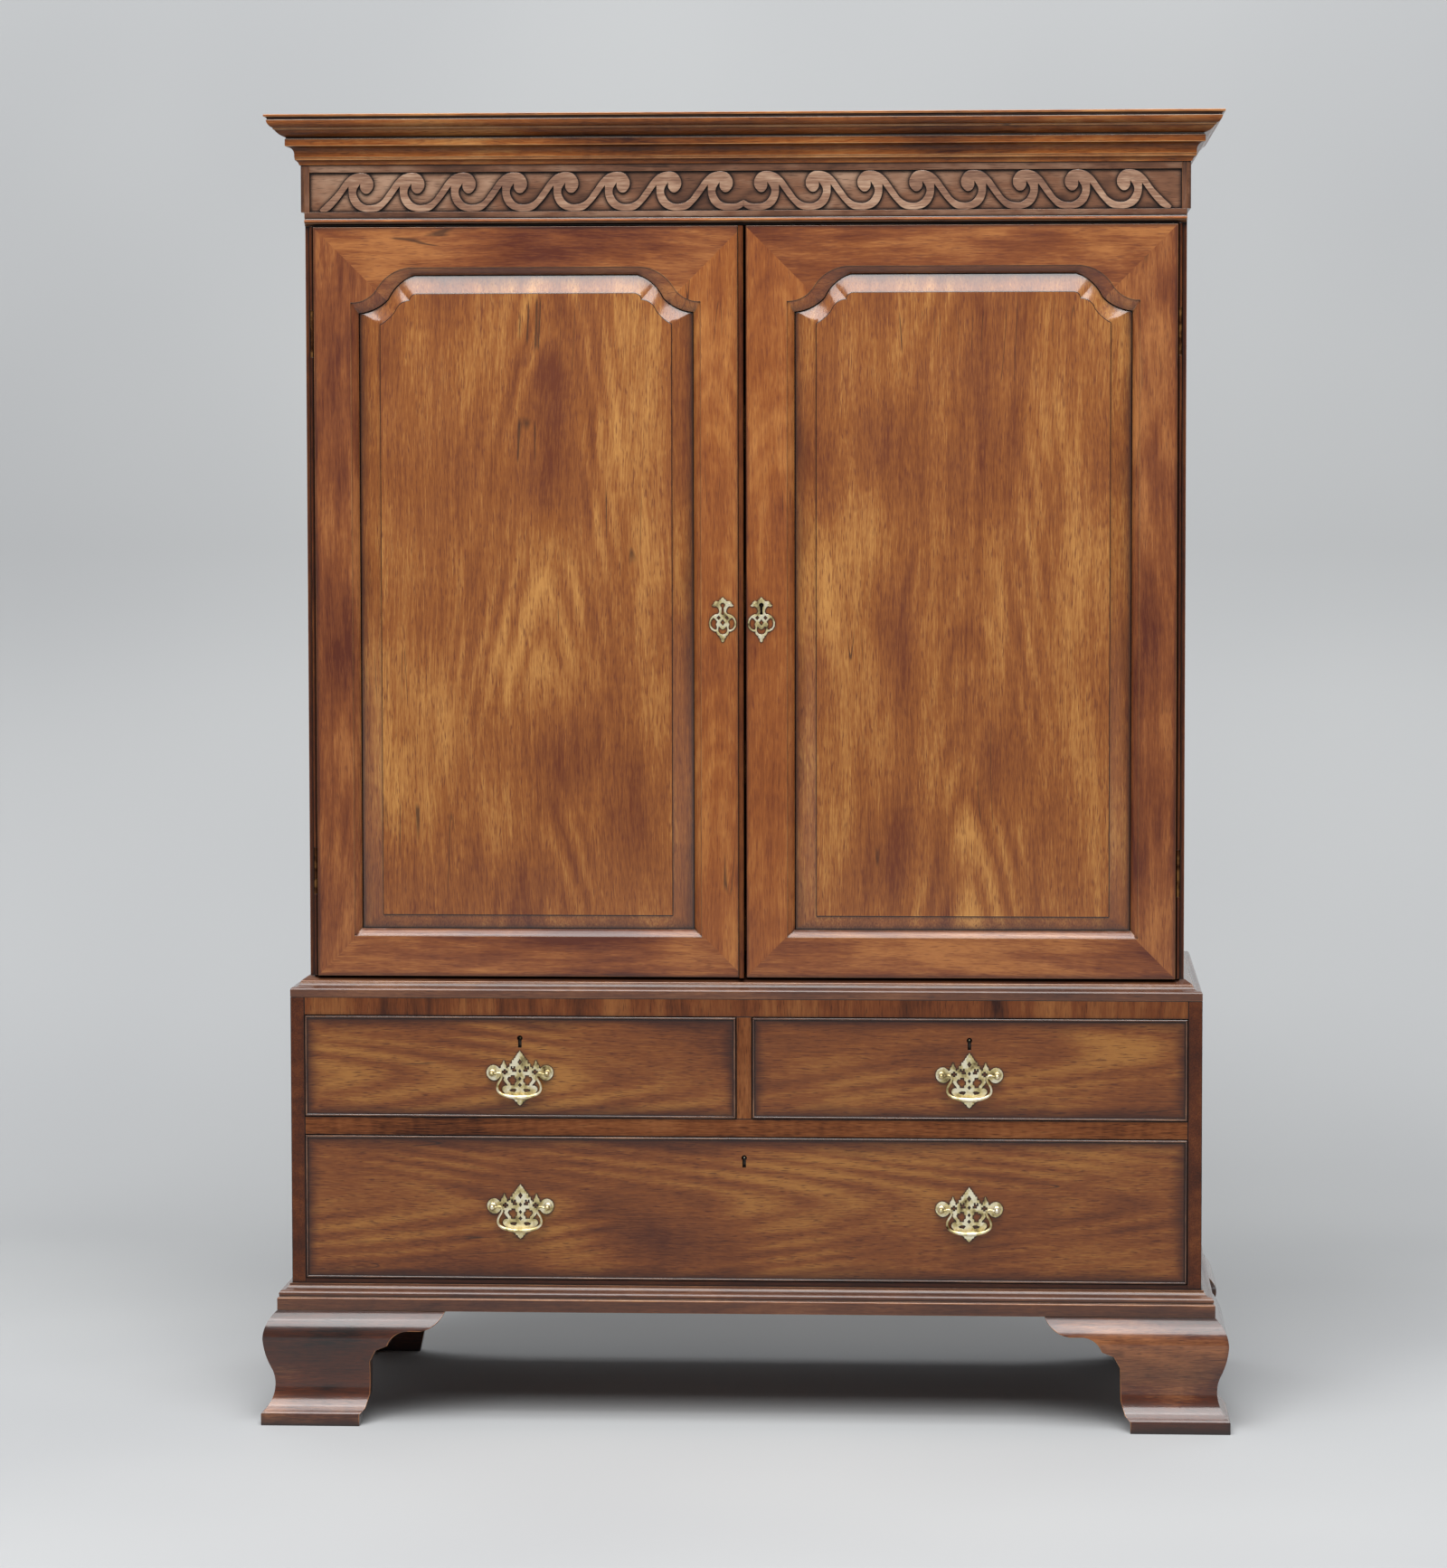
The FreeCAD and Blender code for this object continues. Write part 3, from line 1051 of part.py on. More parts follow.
def drawer(name, x0, x1, floor, ceiling, key_drop, pull_rise, pull_xs):
    """One drawer: front with cock beads, dovetailed box, lock, bolt, pull plates and bails."""
    left, right = x0 + DRAWER_GAP, x1 - DRAWER_GAP
    low, high = floor + DRAWER_GAP, ceiling - DRAWER_GAP
    middle = (x0 + x1) / 2
    y_front, y_inner = BASE_FRONT, BASE_FRONT + DRAWER_FRONT
    y_rear = BACK - BACK_BOARD - DRAWER_BACK_ROOM
    side_top = high - DRAWER_SIDE_DROP

    side_tails = []
    boxes = []
    board_z = floor + DRAWER_BOTTOM_RISE
    for a in (left, right - DRAWER_SIDE):
        b = a + DRAWER_SIDE
        front_tails = tails(a, b, y_inner, y_front + DRAWER_LAP, low + COCK_BEAD, side_top)
        rear_tails = tails(a, b, y_rear - DRAWER_BACK, y_rear, board_z + DRAWER_BOTTOM, side_top)
        body = box(a, b, y_inner, y_rear - DRAWER_BACK, floor, side_top)
        lower = box(a, b, y_rear - DRAWER_BACK, y_rear, floor, board_z + DRAWER_BOTTOM)
        boxes.append(fuse([body, lower, *front_tails, *rear_tails]))
        side_tails += front_tails + rear_tails

    bottom = box(left + DRAWER_SIDE - DRAWER_GROOVE, right - DRAWER_SIDE + DRAWER_GROOVE,
                 y_inner - DRAWER_GROOVE, y_rear, board_z, board_z + DRAWER_BOTTOM)
    boxes = [side.cut(bottom) for side in boxes]
    back = box(left, right, y_rear - DRAWER_BACK, y_rear, board_z + DRAWER_BOTTOM, side_top)
    back = back.cut(side_tails)

    key_z = high - key_drop
    lock_low = high - LOCK_HEIGHT
    lock = box(middle - LOCK_WIDTH / 2, middle + LOCK_WIDTH / 2, y_inner - LOCK_DEPTH, y_inner,
               lock_low, high)
    bolt_y = drawer_bolt_y()
    half_width, half_thick = BOLT_WIDTH / 2, BOLT_THICK / 2
    gap = BOLT_CLEARANCE
    bolt = box(middle - half_width, middle + half_width, bolt_y - half_thick, bolt_y + half_thick,
               high - gap - BOLT_LENGTH, high - gap)
    bolt_room = box(middle - half_width - gap, middle + half_width + gap, bolt_y - half_thick - gap,
                    bolt_y + half_thick + gap, high - BOLT_LENGTH - 1, high)

    beads = cock_beads(left, right, low, high)
    front = box(left + COCK_BEAD, right - COCK_BEAD, y_front, y_inner, low + COCK_BEAD,
                high - COCK_BEAD)
    key = keyhole(middle, key_z, y_front - 1, y_inner, WORN_KEYHOLE)
    front = front.cut([*side_tails, bottom, lock, key])
    beads = [bead.cut([*boxes, lock]) for bead in beads]
    pull_z = floor + pull_rise
    posts_at = [(x + way * PULL_SPACING / 2, pull_z) for x in pull_xs for way in (-1, 1)]
    front = front.cut([post_shank(x, z) for x, z in posts_at])

    save(name + "_drawer_front", front, *beads)
    save(name + "_drawer_box", *boxes, bottom, back)
    save(name + "_drawer_lock", lock.cut(bolt_room))
    save(name + "_drawer_lock_bolt", bolt)
    save(name + "_drawer_pulls", *[piece for x in pull_xs for piece in pull(x, pull_z)])
    for index, x in enumerate(pull_xs):
        side = name if len(pull_xs) == 1 else name + ("_left", "_right")[index]
        save(side + "_bail", bail(x, pull_z))


# ---- Brass pulls ------------------------------------------------------------------------------
def symmetric(place, half):
    """A closed outline from its right-hand points, given from the top of the middle to the bottom."""
    points = half + [(-u, w) for u, w in reversed(half) if u > 0]
    return outline(place, points[0], *[(point,) for point in points[1:]])


def diamond(place, u, w, half_wide, half_high):
    """A lozenge-shaped piercing."""
    return outline(place, (u, w + half_high), ((u + half_wide, w),), ((u, w - half_high),),
                   ((u - half_wide, w),))


def pull_edge(place):
    """Edge of a pull's plate: stepped spires, ears behind the posts, scrolled ends and a pendant."""
    spires = [(0, 32.8), (4.9, 23.0), (10.3, 18.9), (10.3, 13.2), (18.0, 7.4), (23.2, 18.9),
              (28.0, 6.0)]
    ears = [(35.0, 12.4), (42.0, 12.6), (48.3, 3.0), (46.0, -6.4), (37.0, -10.2), (27.4, -5.5)]
    scrolls = [(20.0, -15.0), (26.2, -23.6), (17.6, -30.6), (10.8, -33.6), (5.6, -38.4)]
    return symmetric(place, spires + ears + scrolls + [(0, -47.6)])


def pull(x, z):
    """One pierced plate, two posts with ball heads, and their nuts inside the drawer."""
    y = BASE_FRONT - PULL_PLATE
    place = lambda u, w: V(x + u, y, z + w)
    deep = V(0, PULL_PLATE, 0)
    holes = [diamond(place, 0, 15.6, 4.4, 5.2)]
    for way in (-1, 1):
        side = lambda u, w, way=way: V(x + way * u, y, z + w)
        holes.append(outline(side, (9.6, -3.2), ((15.0, -3.2),), ((17.0, -10.2),),
                             ((13.4, -16.4),), ((7.6, -16.4),), ((5.8, -10.4),)))
    plate = prism(pull_edge(place), deep).cut([prism(hole, deep) for hole in holes])
    pieces = []
    inner = BASE_FRONT + DRAWER_FRONT
    for way in (-1, 1):
        px = x + way * PULL_SPACING / 2
        plate = plate.cut(post_shank(px, z))
        pieces.append(post(px, z, -way))
        pieces.append(box(px - NUT_HALF, px + NUT_HALF, inner, inner + NUT_HEIGHT, z - NUT_HALF,
                          z + NUT_HALF))
    return [plate, *pieces]


def post_shank(x, z):
    """The square shank that holds a post in its drawer front."""
    return box(x - POST_SHANK, x + POST_SHANK, BASE_FRONT - PULL_PLATE,
               BASE_FRONT + DRAWER_FRONT, z - POST_SHANK, z + POST_SHANK)


def post(x, z, inward):
    """A turned post: collar, neck and ball with the bail's socket, on a square shank."""
    axis = BASE_FRONT - POST_REACH
    plate = BASE_FRONT - PULL_PLATE
    neck, cap, across, up = 2.2, 2.0, V(1, 0, 0), V(0, 0, 1)
    turning = [(POST_COLLAR, plate), (neck, plate - 2.8), (neck, axis + POST_BALL - 0.6),
               (POST_BALL, axis), (cap, axis - POST_BALL)]
    turned = faceted([ring(V(x, y, z), across, up, radius, 8) for radius, y in turning])
    bore = faceted([ring(V(x + inward * reach, axis, z), V(0, 1, 0), V(0, 0, 1), BAIL_BORE, 12)
                    for reach in (-0.6, POST_BALL + 2)])
    return turned.fuse(post_shank(x, z)).cut(bore)


def bail(x, z):
    """Swan-neck handle: round pivots in the posts, thin necks and a swelling grip."""
    y = BASE_FRONT - POST_REACH
    end = PULL_SPACING / 2
    half_path = [
        (end - BAIL_PIVOT, 0.0, BAIL_NECK),
        (end - 10.6, 0.0, BAIL_NECK),
        (25.0, -5.0, BAIL_NECK),
        (BAIL_HALF, -17.0, BAIL_NECK + 0.1),
        (BAIL_HALF - 2.4, -25.2, BAIL_NECK + 0.4),
        (BAIL_HALF - 12.0, -30.6, BAIL_NECK + 0.8),
        (0.0, -BAIL_DROP, BAIL_GRIP),
    ]
    path = [(-u, w, r) for u, w, r in half_path] + half_path[-2::-1]
    rings = []
    for index, (u, w, radius) in enumerate(path):
        before, after = path[max(index - 1, 0)], path[min(index + 1, len(path) - 1)]
        along = V(after[0] - before[0], 0, after[1] - before[1])
        if index in (0, len(path) - 1):
            along = V(1, 0, 0)
        across = along.normalize().cross(V(0, 1, 0))
        rings.append(ring(V(x + u, y, z + w), V(0, 1, 0), across, radius, 8))
    pivots = [rod(BAIL_END, V(x + way * (end - BAIL_PIVOT - 1), y, z), V(x + way * end, y, z))
              for way in (-1, 1)]
    return fuse([faceted(rings), *pivots])


# ---- Linen trays ------------------------------------------------------------------------------
def tray(index):
    """One sliding tray: board with tongues, two sides, a back and a lower front."""
    under = tray_floor(index)
    top = under + TRAY_BOARD
    wide = PRESS_INNER - TRAY_SIDE_GAP
    y0, y1 = PRESS_FRONT + TRAY_SET_BACK, BACK - BACK_BOARD - 2
    board = box(-PRESS_INNER - TRAY_TONGUE, PRESS_INNER + TRAY_TONGUE, y0, y1, under, top)
    high = under + TRAY_HEIGHT
    scoop = 60.0
    profile = outline(
        lambda y, z: V(wide - TRAY_WALL, y, z), (y0 + TRAY_WALL, top),
        ((y0 + TRAY_WALL, under + TRAY_FRONT_HEIGHT),),
        ((y0 + TRAY_WALL + scoop * 0.4, under + TRAY_FRONT_HEIGHT + 4), (y0 + scoop, high)),
        ((y1 - TRAY_WALL, high),), ((y1 - TRAY_WALL, top),))
    side = prism(profile, V(TRAY_WALL, 0, 0))
    front = box(-wide, wide, y0, y0 + TRAY_WALL, top, under + TRAY_FRONT_HEIGHT)
    back = box(-wide, wide, y1 - TRAY_WALL, y1, top, high)
    save(f"linen_tray_{index + 1}", board, side, mirrored(side), front, back)


# ---- The whole press --------------------------------------------------------------------------
def main():
    os.makedirs("parts", exist_ok=True)
    feet()
    lower_case()
    upper_case()
    left_door()
    right_door()
    for index in range(TRAYS):
        tray(index)
    drawer("left", -BASE_INNER, -DIVIDER / 2, SHORT_FLOOR, SHORT_TOP, SHORT_KEY_DROP,
           SHORT_PULL_RISE, [-PULL_X])
    drawer("right", DIVIDER / 2, BASE_INNER, SHORT_FLOOR, SHORT_TOP, SHORT_KEY_DROP,
           SHORT_PULL_RISE, [PULL_X])
    drawer("long", -BASE_INNER, BASE_INNER, BASE_FLOOR, LONG_TOP, LONG_KEY_DROP,
           LONG_PULL_RISE, [-PULL_X, PULL_X])


main()
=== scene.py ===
"""An old mahogany linen press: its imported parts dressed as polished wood, cast brass and iron."""

import json
import logging
import math
import random
from collections import Counter
from collections.abc import Callable, Iterator, Sequence
from contextlib import contextmanager
from dataclasses import dataclass, field, replace
from enum import Enum

import bpy
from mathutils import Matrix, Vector

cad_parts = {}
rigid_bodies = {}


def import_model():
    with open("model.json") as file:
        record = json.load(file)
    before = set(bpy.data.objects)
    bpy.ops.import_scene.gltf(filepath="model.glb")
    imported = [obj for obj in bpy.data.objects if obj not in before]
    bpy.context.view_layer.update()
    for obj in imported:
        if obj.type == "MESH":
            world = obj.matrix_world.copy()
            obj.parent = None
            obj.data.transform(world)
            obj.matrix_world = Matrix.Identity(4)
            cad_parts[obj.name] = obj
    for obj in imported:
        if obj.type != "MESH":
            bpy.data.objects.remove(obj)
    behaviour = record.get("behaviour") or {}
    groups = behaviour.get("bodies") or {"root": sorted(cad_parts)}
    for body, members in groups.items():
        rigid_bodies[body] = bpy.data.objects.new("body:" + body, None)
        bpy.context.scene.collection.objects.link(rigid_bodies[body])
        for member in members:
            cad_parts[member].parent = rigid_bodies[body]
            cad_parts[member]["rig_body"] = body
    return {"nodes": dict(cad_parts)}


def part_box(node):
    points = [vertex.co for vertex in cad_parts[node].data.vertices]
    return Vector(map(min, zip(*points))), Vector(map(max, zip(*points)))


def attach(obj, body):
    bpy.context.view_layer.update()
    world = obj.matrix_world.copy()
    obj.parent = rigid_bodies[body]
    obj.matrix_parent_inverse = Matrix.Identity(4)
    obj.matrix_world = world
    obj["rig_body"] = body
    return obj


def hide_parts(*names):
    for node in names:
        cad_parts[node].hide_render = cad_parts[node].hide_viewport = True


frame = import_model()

LOG = logging.getLogger("linen_press")
MM = 0.001
Point = tuple[float, float]
Source = bpy.types.Node | bpy.types.NodeSocket
Thing = bpy.types.Object
Tree = bpy.types.NodeTree


# ---- Shader nodes -----------------------------------------------------------------------------
def srgb(code: str) -> tuple[float, float, float, float]:
    """Turns an sRGB hex colour into the linear values that Blender's sockets take.

    Args:
        code: A colour such as "#955e37".

    Returns:
        Red, green, blue and an opaque alpha.
    """
    values = [int(code[index:index + 2], 16) / 255 for index in (1, 3, 5)]
    red, green, blue = (v / 12.92 if v <= 0.04045 else ((v + 0.055) / 1.055) ** 2.4 for v in values)
    return red, green, blue, 1.0


def add_node(tree: Tree, kind: str, inputs: dict | tuple = (), stops: Sequence[tuple[float, str]] = (),
             **options: object) -> bpy.types.Node:
    """Adds a shader node with its settings and links.

    Args:
        tree: The material's node tree.
        kind: The node's type name, without "ShaderNode".
        inputs: What each socket holds, in order or by name or number: a value, a hex colour, the
            socket that feeds it, or the node whose first output does.
        stops: Positions and colours of a colour ramp.
        options: Properties of the node itself.

    Returns:
        The new node.
    """
    node = tree.nodes.new("ShaderNode" + kind)
    for name, value in options.items():
        setattr(node, name, value)
    for index, (position, colour) in enumerate(stops):
        ramp = node.color_ramp.elements
        stop = ramp[index] if index < 2 else ramp.new(position)
        stop.position, stop.color = position, srgb(colour)
    for key, value in inputs.items() if isinstance(inputs, dict) else enumerate(inputs):
        if isinstance(value, bpy.types.Node):
            value = value.outputs[0]
        if isinstance(value, bpy.types.NodeSocket):
            tree.links.new(value, node.inputs[key])
        else:
            node.inputs[key].default_value = srgb(value) if isinstance(value, str) else value
    return node


def new_material(name: str) -> tuple[bpy.types.Material, Tree]:
    """Makes an empty node material.

    Args:
        name: Its name.

    Returns:
        The material and its node tree.
    """
    made = bpy.data.materials.new(name)
    made.use_nodes = True
    made.node_tree.nodes.clear()
    return made, made.node_tree


# ---- Meshes -----------------------------------------------------------------------------------
def only(*things: Thing) -> None:
    """Leaves edit mode and selects some objects alone.

    Args:
        things: The objects, with the one to make active first.
    """
    if bpy.context.object and bpy.context.object.mode != "OBJECT":
        bpy.ops.object.mode_set(mode="OBJECT")
    bpy.ops.object.select_all(action="DESELECT")
    for thing in things:
        thing.select_set(True)
    if things:
        bpy.context.view_layer.objects.active = things[0]


def add_object(data: bpy.types.ID) -> Thing:
    """Puts data into the scene.

    Args:
        data: A mesh, a curve, a lamp or a camera.

    Returns:
        Its object, of the same name.
    """
    thing = bpy.data.objects.new(data.name, data)
    bpy.context.scene.collection.objects.link(thing)
    return thing


def apply_modifier(piece: Thing, kind: str, **settings: object) -> None:
    """Changes a piece's mesh by one modifier.

    Args:
        piece: The piece.
        kind: The modifier's type.
        settings: Its properties.
    """
    only(piece)
    modifier = piece.modifiers.new(kind, kind)
    for name, value in settings.items():
        setattr(modifier, name, value)
    bpy.ops.object.modifier_apply(modifier=modifier.name)


@contextmanager
def editing(piece: Thing) -> Iterator[None]:
    """Opens a piece's mesh in edit mode, all of it selected, and closes it again.

    Args:
        piece: The piece, which becomes the active object.
    """
    only(piece)
    bpy.ops.object.mode_set(mode="EDIT")
    bpy.ops.mesh.select_all(action="SELECT")
    yield
    bpy.ops.object.mode_set(mode="OBJECT")


def weld(gap: float = 0.01 * MM) -> None:
    """Joins the points that coincide and turns the faces outwards, in edit mode."""
    bpy.ops.mesh.remove_doubles(threshold=gap)
    bpy.ops.mesh.normals_make_consistent(inside=False)


def draw_line(data: bpy.types.Curve, points: Sequence[Sequence[float]],
              handles: Sequence[str]) -> bpy.types.Spline:
    """Adds one line to a curve.

    Args:
        data: The curve.
        points: The line's points, metres.
        handles: The kind of handle that each point has.

    Returns:
        The line.
    """
    line = data.splines.new("BEZIER")
    line.bezier_points.add(len(points) - 1)
    for knot, point, handle in zip(line.bezier_points, points, handles):
        knot.co = point
        knot.handle_left_type = knot.handle_right_type = handle
    return line


def solid_of(data: bpy.types.Curve, tilt: float = 0.0, place: Sequence[float] = (0, 0, 0)) -> Thing:
    """Turns a curve into a closed mesh.

    Args:
        data: The curve.
        tilt: Its turn about X, degrees.
        place: Where it goes, metres.

    Returns:
        The solid, with its place in the mesh.
    """
    solid = add_object(data)
    only(solid)
    bpy.ops.object.convert(target="MESH")
    solid.rotation_euler.x, solid.location = math.radians(tilt), place
    bpy.ops.object.transform_apply()
    with editing(solid):
        weld()
    return solid


def write_attribute(mesh: bpy.types.Mesh, name: str, values: Sequence[float], kind: str = "FLOAT",
                    domain: str = "POINT") -> None:
    """Keeps a value or a vector for each point or edge of a mesh."""
    part = "vector" if kind == "FLOAT_VECTOR" else "value"
    mesh.attributes.new(name, kind, domain).data.foreach_set(part, values)


def finish_shading(piece: Thing, degrees: float = 32) -> None:
    """Shades a piece smooth and keeps its flat faces flat.

    Args:
        piece: The piece.
        degrees: Faces that meet within this angle are one round.
    """
    only(piece)
    bpy.ops.object.shade_smooth_by_angle(angle=math.radians(degrees), keep_sharp_edges=False)
    apply_modifier(piece, "WEIGHTED_NORMAL", keep_sharp=True)


def settle(piece: Thing, body: str, slot: str, *nodes: str) -> None:
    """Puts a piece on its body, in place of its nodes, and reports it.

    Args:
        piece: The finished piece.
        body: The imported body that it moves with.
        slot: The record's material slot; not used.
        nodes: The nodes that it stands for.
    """
    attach(piece, body)
    if nodes:
        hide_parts(*nodes)
    LOG.info("%s: %d faces, on %s", piece.name, len(piece.data.polygons), body)


# ---- Finishes ---------------------------------------------------------------------------------
class Grain(Enum):
    """The way that a board's grain runs: its axes, with the one that the grain follows last."""

    ACROSS = (1, 2, 0)
    DEEP = (0, 2, 1)
    UPRIGHT = (0, 1, 2)


STAIN = "#86634f"                # multiplies the wood's colour, so the grain still shows through
FILLER = "#1c0a04"               # in knocks, worm holes and cracks
DARK_WAX_AND_SHADE = "#160602"                  # painted shade in the corners, with some dark wax
FAR = 999.0                      # stands for a border that doesn't count, millimetres


@dataclass(frozen=True)
class Stock:
    """Where a wood's patterns lie in the boards that are cut from it."""

    tree: Tree
    place: Source                # place in the board in millimetres, with the grain along Z
    seed: Source                 # sets boards of different logs apart

    def pattern(self, across: float, along: float, **inputs: object) -> bpy.types.Node:
        """Lays one noise on the board, from the real size of its features.

        Args:
            across: Their width, millimetres.
            along: Their length along the grain.
            inputs: Further settings of the noise.

        Returns:
            The noise, with a value and a vector as its outputs.
        """
        scale = (1 / across, 1 / across, 1 / along)
        scaled = add_node(self.tree, "Mapping", {"Vector": self.place, "Scale": scale})
        settings = {"Vector": scaled, "W": self.seed, "Scale": 1.0} | inputs
        return add_node(self.tree, "TexNoise", settings, noise_dimensions="4D")

    def blend(self, start: float, *parts: tuple[Source, float]) -> Source:
        """Adds patterns to a start value.

        Args:
            start: The value that the sum starts from.
            parts: Each pattern and its strength, by which its distance from one half is multiplied.

        Returns:
            The sum.
        """
        total: object = start
        for value, strength in parts:
            centred = add_node(self.tree, "Math", (value, -0.5), operation="ADD")
            total = add_node(self.tree, "Math", (centred, strength, total), operation="MULTIPLY_ADD")
        return total

    def bent(self, size: Point, move: Point) -> "Stock":
        """Moves each place a little aside, so that straight fibres sway.

        Args:
            size: Width and length of a sweep, millimetres.
            move: How far it may carry, across and along.

        Returns:
            The stock with its places moved.
        """
        noise = self.pattern(*size, Detail=1.0).outputs[1]
        centred = add_node(self.tree, "VectorMath", (noise, (-0.5, -0.5, -0.5)), operation="ADD")
        moved = add_node(self.tree, "VectorMath", (centred, (move[0], move[0], move[1]), self.place),
                         operation="MULTIPLY_ADD")
        return replace(self, place=moved)


@dataclass(frozen=True)
class Wood:
    """A sawn and finished wood, patterned in millimetres across and along each board.

    Boards carry attributes: "grain_mm", the place in the board with the grain along Z, "rim_low_mm"
    and "rim_high_mm", how far a place is from the board's borders, and "board_seed", which sets
    boards cut from different stock apart.
    """

    name: str
    dark: str                    # heartwood in shade and the walls of the pores
    body: str                    # the usual tone
    pale: str                    # where the fibres turn to the light
    streak: Point = (26.0, 280.0)   # width and length of the ribbon figure
    contrast: float = 0.7        # strength of the ribbon figure
    cloud: float = 0.5           # strength of the broad changes of tone
    fibre: float = 0.6           # strength of the fine lines along the grain
    flame: float = 0.12          # strength of the arched growth lines
    flame_pitch: float = 10.0    # growth line to growth line
    flame_taper: float = 0.2     # how fast the arches climb along the board
    pores: float = 0.55          # strength of the open pores
    gloss: float = 0.42          # roughness of the wood under its polish
    coat: float = 0.8            # weight of the polish that lies on the wood
    wax_and_shade: float = 0.95          # strength of the painted shade and dark wax in the corners
    shelter: float = 20.0        # how far from a corner the painted shade and wax reach
    shine: float = 0.3           # specular level of the wood under its polish
    ripple: float = 0.10         # figure across the grain
    halo: float = 12.0           # how far in from a board's borders the stain is darker
    stain: float = 0.35          # how much darker
    knocks: float = 0.6          # strength of small knocks and filled worm holes
    cracks: float = 0.7          # strength of hairline cracks

    def growth_lines(self, stock: Stock) -> Source:
        """Draws the arches that a saw leaves where it cuts the log's tapering rings flat.

        Args:
            stock: Where the pattern lies.

        Returns:
            Lines from 0 to 1, and one half where there are none.
        """
        tree = stock.tree
        wide, deep, along = add_node(tree, "SeparateXYZ", (stock.place,)).outputs
        square = add_node(tree, "Math", (wide, wide), operation="MULTIPLY")
        squares = add_node(tree, "Math", (deep, deep, square), operation="MULTIPLY_ADD")
        # The saw passed 30 mm from the heart of the log.
        lifted = add_node(tree, "Math", (squares, 30.0 ** 2), operation="ADD")
        radius = add_node(tree, "Math", (lifted,), operation="SQRT")
        cone = add_node(tree, "Math", (along, self.flame_taper, radius), operation="MULTIPLY_ADD")
        turns = add_node(tree, "Math", (cone, 1 / self.flame_pitch), operation="MULTIPLY")
        lines = add_node(tree, "Math", (turns, 1.0), operation="PINGPONG")
        # The arches stand near the heart of the board and fade in and out along it.
        near = add_node(tree, "MapRange", (radius, 60.0, 150.0, 1.0, 0.0))
        patch = stock.pattern(90, 200, Detail=0.0)
        there = add_node(tree, "MapRange", (patch, 0.40, 0.60, 0.0, near))
        return stock.blend(0.5, (lines, there))

    def rim(self, stock: Stock) -> Source:
        """Finds where the stain is darker, unevenly along the borders of a board.

        Args:
            stock: Where the pattern lies.

        Returns:
            From 0 inside the board to its strength at the border.
        """
        tree = stock.tree
        low, high = (add_node(tree, "Attribute", attribute_name=name).outputs["Vector"]
                     for name in ("rim_low_mm", "rim_high_mm"))
        least = add_node(tree, "VectorMath", (low, high), operation="MINIMUM")
        wide, deep, along = add_node(tree, "SeparateXYZ", (least,)).outputs
        side = add_node(tree, "Math", (wide, deep), operation="MINIMUM")
        nearest = add_node(tree, "Math", (side, along), operation="MINIMUM")
        reach = stock.blend(self.halo, (stock.pattern(50, 90), 2.4 * self.halo))
        return add_node(tree, "MapRange", (nearest, 0.0, reach, self.stain, 0.0),
                        interpolation_type="SMOOTHSTEP")

    def harm(self, stock: Stock, swept: Stock) -> Source:
        """Draws knocks, filled worm holes and the hairline cracks that open with the grain.

        Args:
            stock: Where the knocks lie.
            swept: Where the cracks lie, which follow the fibres.

        Returns:
            From 0 to the strength of the harm.
        """
        tree = stock.tree
        # A speck of 1 to 2 mm in some of the board's cells of 45 by 60 mm.
        scale = (1 / 45, 1 / 45, 1 / 60)
        cells = add_node(tree, "Mapping", {"Vector": stock.place, "Scale": scale})
        specks = add_node(tree, "TexVoronoi", {"Vector": cells, "W": stock.seed, "Scale": 1.0},
                          voronoi_dimensions="4D").outputs["Distance"]
        hit = add_node(tree, "MapRange", (specks, 0.035, 0.015, 0.0, self.knocks))
        # A crack is about 0.1 mm wide; it is drawn four times as wide so that it shows.
        drift = swept.pattern(22, 420, Detail=0.0)
        off = add_node(tree, "Math", (drift, -0.5), operation="ADD")
        gap = add_node(tree, "Math", (off,), operation="ABSOLUTE")
        split = add_node(tree, "MapRange", (gap, 0.009, 0.003, 0.0, self.cracks))
        patch = swept.pattern(110, 110, Detail=0.0)
        crack = add_node(tree, "MapRange", (patch, 0.65, 0.70, 0.0, split))
        return add_node(tree, "Math", (hit, crack), operation="MAXIMUM")

    def corners(self, tree: Tree) -> Source:
        """Finds where painted shade, with some dark wax, darkens the inner corners of mouldings and joints.

        Args:
            tree: The material's node tree.

        Returns:
            From 0 in the open to its strength in a corner.
        """
        kept = []
        # Painted shade: a broad one in the hollows and a line of 6 mm in the very corner.
        for reach, samples, clear, full in ((self.shelter, 5, 0.90, 0.48), (6.0, 6, 0.93, 0.68)):
            shade = add_node(tree, "AmbientOcclusion", {"Distance": reach * MM}, samples=samples)
            kept.append(add_node(tree, "MapRange", (shade.outputs["AO"], clear, full)))
        either = add_node(tree, "Math", tuple(kept), operation="MAXIMUM")
        return add_node(tree, "Math", (either, self.wax_and_shade), operation="MULTIPLY")

    def make(self) -> bpy.types.Material:
        """Builds the material.

        Returns:
            The wood as a node material.
        """
        made, tree = new_material(self.name)
        stock = Stock(tree, add_node(tree, "Attribute", attribute_name="grain_mm").outputs["Vector"],
                      add_node(tree, "Attribute", attribute_name="board_seed").outputs["Fac"])
        # The fibres wander on their way up the tree, in long sweeps and in short ones.
        swept = stock.bent((260, 700), (60, 90)).bent((45, 180), (5, 20))
        wide, tall = self.streak
        fibre = swept.pattern(2.2, 60, Roughness=0.6)
        tone = swept.blend(
            0.5,
            (swept.pattern(wide, tall), self.contrast),
            (swept.pattern(wide * 0.34, tall * 0.5, Detail=1.0), 0.5 * self.contrast),
            (swept.pattern(120, 260, Detail=1.0), self.cloud),
            (fibre, self.fibre),
            (swept.pattern(1.3, 14, Detail=1.0), 0.8 * self.fibre),
            (swept.pattern(46, 12, Detail=1.0), self.ripple),
            (self.growth_lines(swept), self.flame))
        colour = add_node(tree, "ValToRGB", (tone,), stops=[
            (0.16, self.dark), (0.84, self.pale), (0.5, self.body)])
